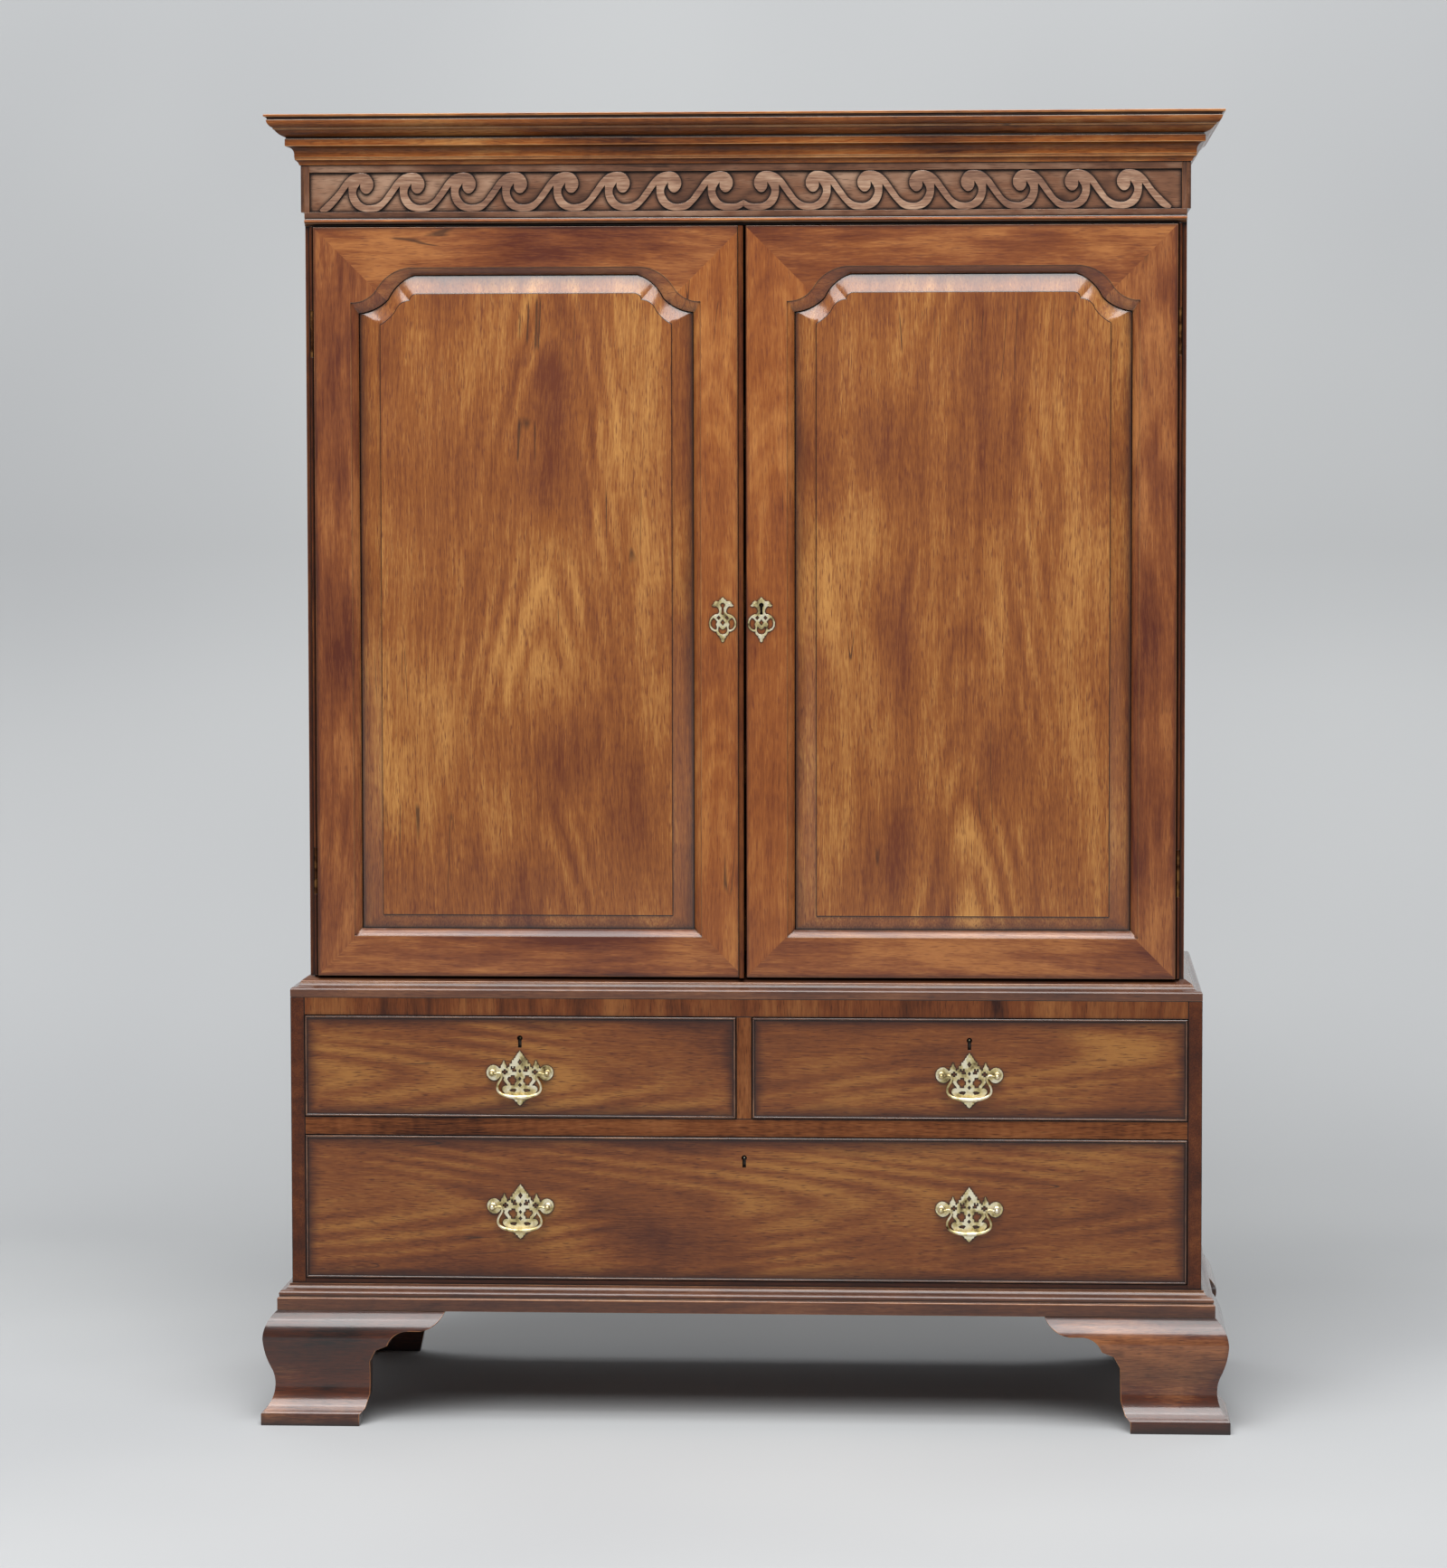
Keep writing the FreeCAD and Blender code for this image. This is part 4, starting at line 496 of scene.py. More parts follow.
        # Real pores are a few tenths of a millimetre wide; they are drawn coarser so that they show.
        fine = stock.pattern(1.3, 14, Detail=1.0, Roughness=0.4)
        pores = add_node(tree, "MapRange", (fine, 0.56, 0.72))
        depth = add_node(tree, "Math", (pores, self.pores), operation="MULTIPLY")
        # The last layer is painted shade, with some dark wax, in the corners.
        layers = ((depth, self.dark, "MIX"), (self.rim(stock), STAIN, "MULTIPLY"),
                  (self.harm(stock, swept), FILLER, "MIX"), (self.corners(tree), DARK_WAX_AND_SHADE, "MIX"))
        for factor, over, way in layers:
            colour = add_node(tree, "Mix", {0: factor, 6: colour, 7: over}, data_type="RGBA",
                              blend_type=way).outputs[2]

        worn = stock.blend(self.gloss, (stock.pattern(60, 90), 0.2), (pores, 0.10))
        # Shrunk boards leave the old polish slightly uneven; the pores stay as fine dents.
        height = stock.blend(0.0, (stock.pattern(34, 120, Detail=1.0), 0.9), (pores, -0.05), (fibre, 0.05))
        bump = add_node(tree, "Bump", {"Height": height, "Strength": 0.5, "Distance": 0.6 * MM})
        shader = add_node(tree, "BsdfPrincipled", {
            "Base Color": colour, "Roughness": worn, "Normal": bump, "IOR": 1.5,
            "Specular IOR Level": self.shine, "Coat Weight": self.coat, "Coat Roughness": 0.12,
            "Coat IOR": 1.5, "Coat Normal": bump})
        add_node(tree, "OutputMaterial", (shader,))
        return made


@dataclass(frozen=True)
class Metal:
    """A cast, filed or forged metal with its wear."""

    name: str
    bright: str                  # rubbed high places
    body: str
    dull: str                    # tarnish in the low places
    gloss: float = 0.3
    grit: float = 6.4            # size of the casting's unevenness, millimetres
    patch: float = 14.0          # size of the patches of tarnish, millimetres
    dents: float = 0.25          # how far the unevenness shows

    def make(self) -> bpy.types.Material:
        """Builds the material.

        Returns:
            The metal as a node material.
        """
        made, tree = new_material(self.name)
        place = add_node(tree, "TexCoord").outputs["Object"]
        skin, tarnish = (
            add_node(tree, "TexNoise", {"Vector": place, "Scale": 1 / (size * MM), "Detail": 3.0}).outputs[0]
            for size in (self.grit, self.patch))
        shelter = add_node(tree, "AmbientOcclusion", {"Distance": 4 * MM}, samples=6).outputs["AO"]
        low = add_node(tree, "MapRange", (shelter, 0.97, 0.45))
        patchy = add_node(tree, "Math", (tarnish, 1.5, -0.30), operation="MULTIPLY_ADD")
        tone = add_node(tree, "ValToRGB", (patchy,), stops=[
            (0.30, self.bright), (0.78, self.dull), (0.5, self.body)])
        aged = add_node(tree, "Mix", {0: low, 6: tone, 7: self.dull}, data_type="RGBA").outputs[2]
        rough = add_node(tree, "Math", (tarnish, 0.3, self.gloss - 0.12), operation="MULTIPLY_ADD")
        bump = add_node(tree, "Bump", {"Height": skin, "Strength": self.dents, "Distance": 0.4 * MM})
        shader = add_node(tree, "BsdfPrincipled", {
            "Base Color": aged, "Roughness": rough, "Normal": bump, "Metallic": 1.0})
        add_node(tree, "OutputMaterial", (shader,))
        return made


class Finish(Enum):
    """The woods and metals of the press; each is built once."""

    # Figured mahogany under French polish: golden streaks in a warm red brown.
    PANEL = Wood("mahogany_figured_french_polished", "#652c0c", "#935522", "#c28846",
                 streak=(38.0, 300.0), contrast=0.6, cloud=0.9, fibre=0.55, flame=0.3, flame_pitch=12.0,
                 pores=0.8, coat=1.0, halo=28.0, stain=0.8)
    # Straight-grained mahogany of the door frames, redder and less streaked.
    FRAME = Wood("mahogany_straight_french_polished", "#56210a", "#82461f", "#ab6c38",
                 streak=(24.0, 160.0), contrast=0.9, cloud=1.0, fibre=0.5, halo=7.0, stain=0.85)
    # Meeting stiles, sawn flat from a paler log: arches of fine growth lines in a golden brown.
    STILE = Wood("mahogany_flat_sawn_stile_french_polished", "#642809", "#945220", "#bb7a3c",
                 streak=(26.0, 180.0), contrast=0.55, cloud=0.9, fibre=0.45, flame=0.13, flame_pitch=8.0,
                 flame_taper=0.3, halo=7.0, stain=0.85)
    # Drawer fronts of plainer flat-sawn mahogany, faded to a cooler brown.
    DRAWER = Wood("mahogany_flat_sawn_french_polished", "#481c05", "#7a4219", "#a06a31", coat=0.45,
                  streak=(40.0, 300.0), contrast=0.2, cloud=1.0, fibre=0.5, flame=0.36, flame_pitch=9.0,
                  flame_taper=0.12, pores=0.8, halo=22.0, stain=0.8)
    # Cock beads round the drawers, painted dark as the shade of the gaps beside them, with painted shade
    # darker in the corners; the nose shines with the polish.
    BEAD = Wood("mahogany_cock_bead", "#1c0a04", "#54301c", "#8a5e3e", coat=1.0, gloss=0.3, shelter=8.0,
                stain=0.0)
    # Case sides and rails: dense dark mahogany that has taken the most wax.
    CASE = Wood("mahogany_dense_waxed", "#34130a", "#7c4320", "#aa6a35", coat=0.25, shine=0.2,
                streak=(24.0, 220.0), contrast=0.5, cloud=0.8, fibre=0.5, ripple=0.15, halo=3.5, stain=0.7)
    # The rounded edges of a panel's field, painted near black as shade, under a full polish.
    FILLET = Wood("mahogany_field_fillet_polished", "#150602", "#2c1208", "#4d2a15", coat=1.0, gloss=0.3,
                  stain=0.0)
    # Rails between the drawers, handled and warmer than the case.
    RAIL = Wood("mahogany_drawer_rail_waxed", "#3f1a0b", "#a96a3c", "#cf9058", coat=0.15, shine=0.15,
                streak=(20.0, 160.0), contrast=0.4, cloud=0.9, ripple=0.3, shelter=7.0, halo=1.8, stain=0.7)
    # The rounded edges of the drawer openings and case sides, painted near black as the shadow in the gaps.
    WAXED = Wood("mahogany_edge_black_wax", "#120502", "#1d0904", "#3a1a0c", coat=0.3, gloss=0.5)
    # Waist and plinth mouldings: dense mahogany, with painted shade in the hollows and a painted highlight
    # on the worn arrises.
    MOULDING = Wood("mahogany_run_moulding_waxed", "#32130a", "#61361d", "#92603e",
                    streak=(20.0, 160.0), contrast=0.4, cloud=0.9, fibre=0.35, shelter=28.0, coat=0.8,
                    stain=0.0)
    # Cornice: golden on its worn arrises, which carry a painted highlight, and black with painted shade in
    # its hollows.
    CORNICE = Wood("mahogany_run_cornice_waxed", "#3a1508", "#9c5723", "#d09354", coat=0.3, shine=0.2,
                   streak=(16.0, 160.0), contrast=0.5, cloud=0.8, fibre=0.35, shelter=14.0, wax_and_shade=1.0,
                   stain=0.0)
    # The cornice's own arrises: worn wood, painted the palest of the press as a highlight.
    CORNICE_ARRIS = Wood("mahogany_cornice_rubbed_arris", "#8a4f2a", "#c08750", "#dba873", pores=0.2)
    # Ogee feet: broad clouds of tone, black with painted shade in the hollows under the belly.
    FOOT = Wood("mahogany_ogee_foot_waxed", "#170501", "#58260d", "#a5683d", coat=1.0, gloss=0.36,
                streak=(44.0, 110.0), contrast=0.5, cloud=1.3, fibre=0.35, shelter=34.0, wax_and_shade=1.0,
                halo=9.0, stain=0.5)
    # Handled arrises: the stain rubbed back to warmer wood, and painted paler still as a highlight.
    ARRIS = Wood("mahogany_rubbed_arris", "#6a3a20", "#9c6439", "#c28b57", pores=0.2, gloss=0.36)
    # Short cross-grain veneer on the rail over the drawers.
    BANDING = Wood("mahogany_cross_banded_veneer", "#44200f", "#9c5c30", "#cf9154", coat=0.2, shine=0.2,
                   streak=(34.0, 200.0), contrast=1.0, fibre=0.3, flame=0.0, shelter=8.0, halo=2.0,
                   stain=0.7)
    # Inside of the case and linen trays: dry mahogany that was never polished.
    DRY = Wood("mahogany_planed_unpolished", "#714527", "#96643c", "#b58458", gloss=0.62, coat=0.0,
               streak=(16.0, 300.0), contrast=0.7, wax_and_shade=0.5)
    # Backs, linings and blocks: sawn and planed oak gone grey brown.
    OAK = Wood("oak_planed_bare", "#5c4127", "#8a6a45", "#ab8b62", gloss=0.72, coat=0.0, pores=0.8,
               streak=(10.0, 260.0), contrast=0.8, flame=0.4, flame_pitch=6.0, wax_and_shade=0.6)
    # Ground of the frieze: the same wood, dulled to grey by dust in the old wax, with painted shade round
    # the scroll.
    FRIEZE = Wood("mahogany_frieze_dusty_wax", "#2b140c", "#7b533c", "#ab886f", gloss=0.5, coat=0.5,
                  streak=(34.0, 50.0), contrast=0.6, cloud=1.3, fibre=0.15, flame=0.0, shelter=9.0,
                  wax_and_shade=1.0, shine=0.2)
    # Fret-cut mahogany of the frieze, dry and slightly bleached on its flat faces.
    SCROLL = Wood("mahogany_fret_cut_waxed", "#5f3d2e", "#946e56", "#c2a085",
                  streak=(20.0, 70.0), contrast=0.7, cloud=0.9, gloss=0.5, coat=0.8, shelter=6.0, stain=0.0)
    # Cast brass, filed and lacquered; the lacquer has gone and the low places are brown.
    BRASS = Metal("brass_cast_hand_filed", "#fff6d8", "#dccb94", "#48311a", gloss=0.38)
    # Hinge knuckles under a century of polish and wax, nearly as dark as the wood.
    DARK_BRASS = Metal("brass_darkened_by_polish", "#8c6238", "#553420", "#241209", gloss=0.42)
    # Wrought iron lock cases, brushed and browned.
    IRON = Metal("iron_forged_browned", "#77706a", "#4e4843", "#2a2320", gloss=0.5)

    @property
    def material(self) -> bpy.types.Material:
        """The finish's material, made the first time that it is asked for."""
        return bpy.data.materials.get(self.value.name) or self.value.make()


# ---- Boards -----------------------------------------------------------------------------------
@dataclass
class Board:
    """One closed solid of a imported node."""

    faces: list[tuple[tuple[float, float, float], ...]] = field(default_factory=list)

    @property
    def low(self) -> Vector:
        """The board's lowest corner, metres."""
        return Vector(min(p[axis] for f in self.faces for p in f) for axis in range(3))

    @property
    def high(self) -> Vector:
        """The board's highest corner, metres."""
        return Vector(max(p[axis] for f in self.faces for p in f) for axis in range(3))

    @property
    def size(self) -> Vector:
        """The board's three measures, metres."""
        return self.high - self.low

    @property
    def centre(self) -> Vector:
        """The middle of the board, metres."""
        return (self.low + self.high) / 2

    @property
    def longest(self) -> Grain:
        """The grain that a joiner would give it: along its longest side."""
        size = self.size
        return (Grain.ACROSS, Grain.DEEP, Grain.UPRIGHT)[max(range(3), key=lambda axis: size[axis])]


def boards_of(mesh: bpy.types.Mesh) -> list[Board]:
    """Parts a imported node's triangles into its closed solids.

    Args:
        mesh: The node's mesh, whose triangles come solid by solid.

    Returns:
        The solids in order.
    """
    boards: list[Board] = []
    board, waiting = Board(), Counter()
    for face in mesh.polygons:
        corners = [tuple(round(c, 7) for c in mesh.vertices[v].co) for v in face.vertices]
        for start, end in zip(corners, corners[1:] + corners[:1]):
            if waiting[(end, start)] > 0:
                waiting[(end, start)] -= 1
                if not waiting[(end, start)]:
                    del waiting[(end, start)]
            else:
                waiting[(start, end)] += 1
        board.faces.append(tuple(corners))
        if not any(waiting.values()):
            boards.append(board)
            board, waiting = Board(), Counter()
    if board.faces:
        boards.append(board)
    return boards


Rule = Callable[[Board], tuple[Finish, Grain]]


@dataclass(frozen=True)
class Dressing:
    """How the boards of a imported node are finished."""

    finish: Finish
    slot: str = "mahogany"
    arris: float = 0.6           # radius that wear has given the edges, mm
    rule: Rule | None = None     # for a node whose boards differ
    # The finish on the faces of the rounded arrises: paler wood for wear and painted highlight, near-black
    # wood for painted shade.
    rubbed: Finish | None = Finish.ARRIS
    smooth: float = 32           # facets that meet within this angle are one round, degrees
    coplanar: float = 0.6        # triangles that meet within this angle are one face, degrees

    def apply(self, *nodes: str) -> None:
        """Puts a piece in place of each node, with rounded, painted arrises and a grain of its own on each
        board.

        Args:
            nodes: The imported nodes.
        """
        for node in nodes:
            boards = boards_of(frame["nodes"][node].data)
            chosen = [self.rule(board) if self.rule else (self.finish, board.longest) for board in boards]
            piece = self.assemble(node + "_dressed", boards, [finish for finish, _ in chosen])
            mark_grain(piece, [(grain, board.low, board.high) for board, (_, grain) in zip(boards, chosen)])
            finish_shading(piece, self.smooth)
            settle(piece, frame["nodes"][node]["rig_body"], self.slot, node)

    def assemble(self, name: str, boards: Sequence[Board], woods: Sequence[Finish]) -> Thing:
        """Builds one piece of all the boards of a node and rounds its arrises, whose faces take the arris
        finish.

        Args:
            name: The piece's name.
            boards: The node's boards.
            woods: The finish of each.

        Returns:
            The piece, whose attribute "board" says which board a vertex is on.
        """
        finishes = list(dict.fromkeys(woods))
        places: dict[tuple, int] = {}
        faces, slots = [], []
        for index, board in enumerate(boards):
            for face in board.faces:
                corners = [places.setdefault((index, corner), len(places)) for corner in face]
                if len(set(corners)) == 3:
                    faces.append(corners)
                    slots.append(finishes.index(woods[index]))
        mesh = bpy.data.meshes.new(name)
        mesh.from_pydata([corner for _, corner in places], [], faces)
        mesh.polygons.foreach_set("material_index", slots)
        write_attribute(mesh, "board", [float(index) for index, _ in places])
        for finish in finishes:
            mesh.materials.append(finish.material)
        piece = add_object(mesh)
        with editing(piece):
            bpy.ops.mesh.dissolve_limited(angle_limit=math.radians(self.coplanar), delimit={"MATERIAL"})
        if self.arris:
            if self.rubbed:
                mesh.materials.append(self.rubbed.material)
            weigh_arrises(mesh)
            apply_modifier(piece, "BEVEL", width=self.arris * MM, segments=2, limit_method="WEIGHT",
                           use_clamp_overlap=False, material=len(finishes) if self.rubbed else -1)
        return piece


BARE_OAK = Dressing(Finish.OAK, "oak", arris=0.4, rubbed=None)


def weigh_arrises(mesh: bpy.types.Mesh, degrees: float = 34) -> None:
    """Marks the edges that wear rounds: the sharp ones, apart from the closed joints of mitres.

    Args:
        mesh: A board's mesh.
        degrees: The least angle of a sharp edge.
    """
    beside: dict[tuple[int, int], list[bpy.types.MeshPolygon]] = {}
    for face in mesh.polygons:
        for key in face.edge_keys:
            beside.setdefault(key, []).append(face)
    weights = []
    for edge in mesh.edges:
        faces = beside.get(edge.key, [])
        sharp = len(faces) == 2 and faces[0].normal.angle(faces[1].normal, 0) > math.radians(degrees)
        weights.append(float(sharp and not any(is_mitre(face) for face in faces)))
    write_attribute(mesh, "bevel_weight_edge", weights, domain="EDGE")


def is_mitre(face: bpy.types.MeshPolygon) -> bool:
    """Tells whether a face is the cut at 45 degrees where two boards meet, and no small facet.

    Args:
        face: A board's face.

    Returns:
        Whether it lies at 45 degrees to two axes, along the third, and is larger than a facet.
    """
    low, middle, high = sorted(abs(part) for part in face.normal)
    slack, facet = 0.01, 200 * MM * MM
    return low < slack and high - middle < 2 * slack and face.area > facet


def mark_grain(piece: Thing, boards: Sequence[tuple[Grain, Vector, Vector]]) -> None:
    """Writes each vertex's place in its board, with the grain along Z, and how far in it lies.

    Args:
        piece: A wooden piece. Its attribute "board", where it has one, says which board a vertex is on.
        boards: The grain, the lowest and the highest corner of each board.
    """
    mesh = piece.data
    kept = mesh.attributes.get("board")
    owners = [round(item.value) for item in kept.data] if kept else [0] * len(mesh.vertices)
    plans = []
    for index, (grain, low, high) in enumerate(boards):
        # Where in its log the board was cut, millimetres, and a seed of its own.
        dice = random.Random(f"{piece.name} {index}")
        shift = (dice.uniform(-40, 40), dice.uniform(-30, 30), dice.uniform(-200, 200))
        thin = min(range(3), key=lambda axis: high[axis] - low[axis])
        plans.append((grain.value, low, high, thin, shift, dice.uniform(0, 60)))
    places, seeds, above, below = [], [], [], []
    for vertex, owner in zip(mesh.vertices, owners):
        axes, low, high, thin, shift, seed = plans[owner]
        offset = (vertex.co - (low + high) / 2) / MM
        places.extend(offset[axis] + move for axis, move in zip(axes, shift))
        seeds.append(seed)
        # A board's thickness doesn't count: its faces lie right on those two borders.
        above.extend(FAR if axis == thin else (vertex.co[axis] - low[axis]) / MM for axis in range(3))
        below.extend(FAR if axis == thin else (high[axis] - vertex.co[axis]) / MM for axis in range(3))
    if kept:
        mesh.attributes.remove(kept)
    for name, vectors in (("grain_mm", places), ("rim_low_mm", above), ("rim_high_mm", below)):
        write_attribute(mesh, name, vectors, "FLOAT_VECTOR")
    write_attribute(mesh, "board_seed", seeds)


def paint(finish: Finish, *nodes: str) -> None:
    """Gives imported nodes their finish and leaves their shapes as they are.

    Args:
        finish: The finish.
        nodes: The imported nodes.
    """
    for node in nodes:
        thing = frame["nodes"][node]
        thing.data.materials.clear()
        thing.data.materials.append(finish.material)
        LOG.info("%s: packed shape, %s", node, finish.value.name)


# ---- Cast and cut metalwork -------------------------------------------------------------------
def mirrored(half: Sequence[Point]) -> list[Point]:
    """Closes an outline from its right half, given from the top of the middle to the bottom."""
    return list(half) + [(-x, z) for x, z in reversed(half) if x > 0]


def both_sides(*holes: Sequence[Point]) -> list[list[Point]]:
    """Gives piercings and their mirror images."""
    return [[(way * x, z) for x, z in hole] for hole in holes for way in (1, -1)]


def lozenge(z: float, wide: float, high: float) -> list[Point]:
    """Gives a lozenge-shaped piercing in the middle of a plate."""
    return [(0, z + high), (wide, z), (0, z - high), (-wide, z)]


@dataclass(frozen=True)
class FretCut:
    """A sheet sawn to an outline and pierced, with filed edges. Sizes in millimetres."""

    name: str
    outline: list[Point]
    holes: list[list[Point]]
    thickness: float
    filed: float = 0.35          # radius of the edges
    soft: bool = False           # smooth curves between the points, apart from the cusps
    cusps: frozenset[Point] = frozenset()

    def make(self, x: float, front: float, z: float) -> Thing:
        """Cuts the sheet and stands it up, facing forwards.

        Args:
            x: Place of the outline's origin, metres.
            front: The sheet's front face, metres.
            z: Height of the outline's origin, metres.

        Returns:
            The sheet as a mesh, with its place in the mesh.
        """
        data = bpy.data.curves.new(self.name, "CURVE")
        data.dimensions, data.fill_mode = "2D", "BOTH"
        data.extrude = (self.thickness / 2 - self.filed) * MM
        data.bevel_depth, data.bevel_resolution, data.offset = self.filed * MM, 1, -self.filed * MM
        for points in [self.outline, *self.holes]:
            handles = ["AUTO" if self.soft and point not in self.cusps else "VECTOR" for point in points]
            line = draw_line(data, [(px * MM, pz * MM, 0) for px, pz in points], handles)
            line.use_cyclic_u, line.resolution_u = True, 5 if self.soft else 1
        return solid_of(data, 90, (x, front + self.thickness / 2 * MM, z))


def turned(name: str, profile: Sequence[Point], centre: Sequence[float], steps: int = 32) -> Thing:
    """Turns a profile about an axis that runs forwards, by spinning its line in edit mode.

    Args:
        name: The piece's name.
        profile: Radius and distance forwards of each point, millimetres.
        centre: Where the axis meets the face that it stands on, metres.
        steps: Facets round the axis.

    Returns:
        The turned piece.
    """
    only()
    bpy.ops.mesh.primitive_plane_add(size=MM, location=(0, 0, 0))
    piece = bpy.context.object
    piece.name = name
    with editing(piece):
        bpy.ops.mesh.select_mode(type="VERT")
        bpy.ops.mesh.merge(type="CENTER")
        bpy.ops.transform.translate(value=(profile[0][0] * MM, -profile[0][1] * MM, 0))
        for here, there in zip(profile, profile[1:]):
            move = ((there[0] - here[0]) * MM, -(there[1] - here[1]) * MM, 0)
            bpy.ops.mesh.extrude_region_move(TRANSFORM_OT_translate={"value": move})
        bpy.ops.mesh.select_all(action="SELECT")
        bpy.ops.mesh.spin(steps=steps, angle=2 * math.pi, center=(0, 0, 0), axis=(0, 1, 0))
        bpy.ops.mesh.select_all(action="SELECT")
        weld(0.02 * MM)
    piece.location = centre
    bpy.ops.object.transform_apply()
    return piece


def joined(name: str, pieces: Sequence[Thing], finish: Finish) -> Thing:
    """Joins castings into one piece of one metal.

    Args:
        name: The piece's name.
        pieces: The parts.
        finish: Their metal.

    Returns:
        The joined piece.
    """
    only(*pieces)
    if len(pieces) > 1:
        bpy.ops.object.join()
    piece = pieces[0]
    piece.name = piece.data.name = name
    piece.data.materials.clear()
    piece.data.materials.append(finish.material)
    finish_shading(piece, 38)
    return piece


@dataclass(frozen=True)
class Pull:
    """A pierced plate with two posts and a swan-neck bail. Sizes in millimetres."""

    name: str
    x: float                     # middle of the plate, metres
    z: float                     # height of the posts, metres
    face: float = -0.26715       # front of the drawer, metres
    spacing: float = 79.0
    reach: float = 13.0          # drawer face to the middle of the ball heads
    front: float = 20.0          # thickness of the drawer front
    ball: float = 3.9            # radius of a ball head
    plate: float = 1.6
    spires: tuple[Point, ...] = (
        (0, 32.2), (2.2, 28.6), (3.2, 28.4), (4.6, 25.2), (5.6, 24.8), (6.8, 21.8), (8.7, 20.6),
        (8.7, 18.6), (11.3, 18.4), (11.3, 13.6), (14.8, 13.4), (14.8, 8.8), (17.0, 8.4), (17.4, 6.4),
        (19.4, 7.0), (19.4, 10.6), (20.8, 12.2), (23.0, 18.8), (25.4, 12.4), (27.2, 10.8), (27.4, 7.4))
    lobe: tuple[Point, ...] = (
        (29.4, 6.2), (31.4, 8.6), (34.6, 10.6), (38.4, 11.2), (42.2, 10.2), (45.4, 7.6), (47.4, 4.0),
        (47.9, 0.0), (46.9, -4.0), (44.4, -7.4), (41.0, -9.8), (37.2, -10.8), (33.4, -10.0),
        (30.4, -8.0), (28.4, -5.2))
    foot: tuple[Point, ...] = (
        (25.2, -4.4), (22.6, -6.8), (23.6, -9.6), (21.4, -13.2), (18.6, -16.0), (17.8, -18.4),
        (20.4, -18.2), (23.4, -19.2), (25.2, -21.8), (25.2, -24.8), (23.4, -27.4), (20.6, -30.4),
        (15.2, -33.6), (11.6, -35.4), (10.8, -37.6), (7.4, -38.8), (6.6, -41.0), (4.2, -41.8),
        (3.2, -44.2), (0, -46.8))
    stepped: tuple[Point, ...] = (
        (4.9, 1.6), (4.9, 5.0), (6.6, 5.0), (6.6, 9.6), (9.2, 9.6), (9.2, 7.2), (10.8, 7.2),
        (10.8, 9.6), (13.2, 9.6), (13.2, 5.0), (11.0, 5.0), (11.0, 1.6))
    cross: tuple[Point, ...] = (
        (19.9, 5.4), (23.3, 5.4), (23.3, 3.3), (25.8, 3.3), (25.8, -0.3), (23.3, -0.3), (23.3, -2.4),
        (19.9, -2.4), (19.9, -0.3), (17.4, -0.3), (17.4, 3.3), (19.9, 3.3))
    window: tuple[Point, ...] = (
        (7.4, -3.2), (13.0, -3.2), (13.0, -5.6), (16.4, -5.6), (18.2, -9.2), (15.6, -13.6),
        (14.0, -14.4), (13.4, -18.0), (7.4, -18.0), (7.2, -14.4), (4.8, -13.2), (4.8, -8.6), (7.2, -7.2))
    slot: tuple[Point, ...] = (
        (4.6, -24.0), (6.8, -22.6), (11.2, -22.6), (15.2, -24.4), (13.6, -26.6), (7.6, -27.8))
    # Height, half the width and half the height of each lozenge in the middle.
    lozenges: tuple[tuple[float, float, float], ...] = (
        (15.6, 3.2, 4.6), (2.6, 2.3, 3.2), (-8.2, 2.3, 3.0), (-17.4, 2.8, 3.1))
    # Right half of the bail, from its socket down: place, height and radius.
    bail_path: tuple[tuple[float, float, float], ...] = (
        (39.2, 0.0, 1.5), (34.6, 0.1, 1.5), (31.0, 1.2, 1.5), (27.4, 0.8, 1.6), (25.0, -2.4, 1.6),
        (26.0, -7.4, 1.6), (29.2, -12.6, 1.65), (31.2, -18.2, 1.75), (30.2, -24.2, 1.9),
        (25.4, -28.8, 2.1), (17.6, -31.6, 2.5), (8.6, -33.0, 3.0), (0.0, -33.4, 3.1))

    @property
    def bail_node(self) -> str:
        """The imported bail, which is also its body's name."""
        return self.name + "_bail"

    def fittings(self) -> list[Thing]:
        """Makes the plate, its two posts and their nuts.

        Returns:
            The castings, not yet joined.
        """
        holes = [lozenge(*measures) for measures in self.lozenges]
        holes += both_sides(self.stepped, self.cross, self.window, self.slot)
        outline = mirrored(self.spires + self.lobe + self.foot)
        sheet = FretCut(self.name + "_plate", outline, holes, self.plate)
        parts = [sheet.make(self.x, self.face - self.plate * MM, self.z)]
        ball, ahead, plate = self.ball, self.reach, self.plate
        turning = [(0.0, plate), (5.0, plate), (5.2, plate + 0.5), (4.6, plate + 1.2), (2.9, plate + 1.6),
                   (2.3, plate + 2.6), (2.1, ahead - 4.6), (2.5, ahead - 3.4)]
        turning += [(ball * math.cos(a), ahead + ball * math.sin(a))
                    for a in (math.radians(d) for d in range(-48, 90, 12))] + [(0.0, ahead + ball)]
        for way in (-1, 1):
            x = self.x + way * self.spacing / 2 * MM
            parts += [turned(self.name + "_post", turning, (x, self.face, self.z)), self.nut(x)]
        return parts

    def nut(self, x: float) -> Thing:
        """Makes the square nut that holds a post inside the drawer, with chamfered corners.

        Args:
            x: The middle of the post, metres.

        Returns:
            The nut.
        """
        only()
        width, depth, inside = 10 * MM, 4 * MM, self.face + self.front * MM
        bpy.ops.mesh.primitive_cylinder_add(vertices=4, radius=width / math.sqrt(2), depth=depth,
                                            location=(x, inside + depth / 2, self.z))
        nut = bpy.context.object
        with editing(nut):
            for axis, degrees in (("Z", 45), ("X", 90)):
                bpy.ops.transform.rotate(value=math.radians(degrees), orient_axis=axis,
                                         center_override=nut.location)
            bpy.ops.mesh.bevel(offset=0.5 * MM, segments=1)
        bpy.ops.object.transform_apply()
        return nut

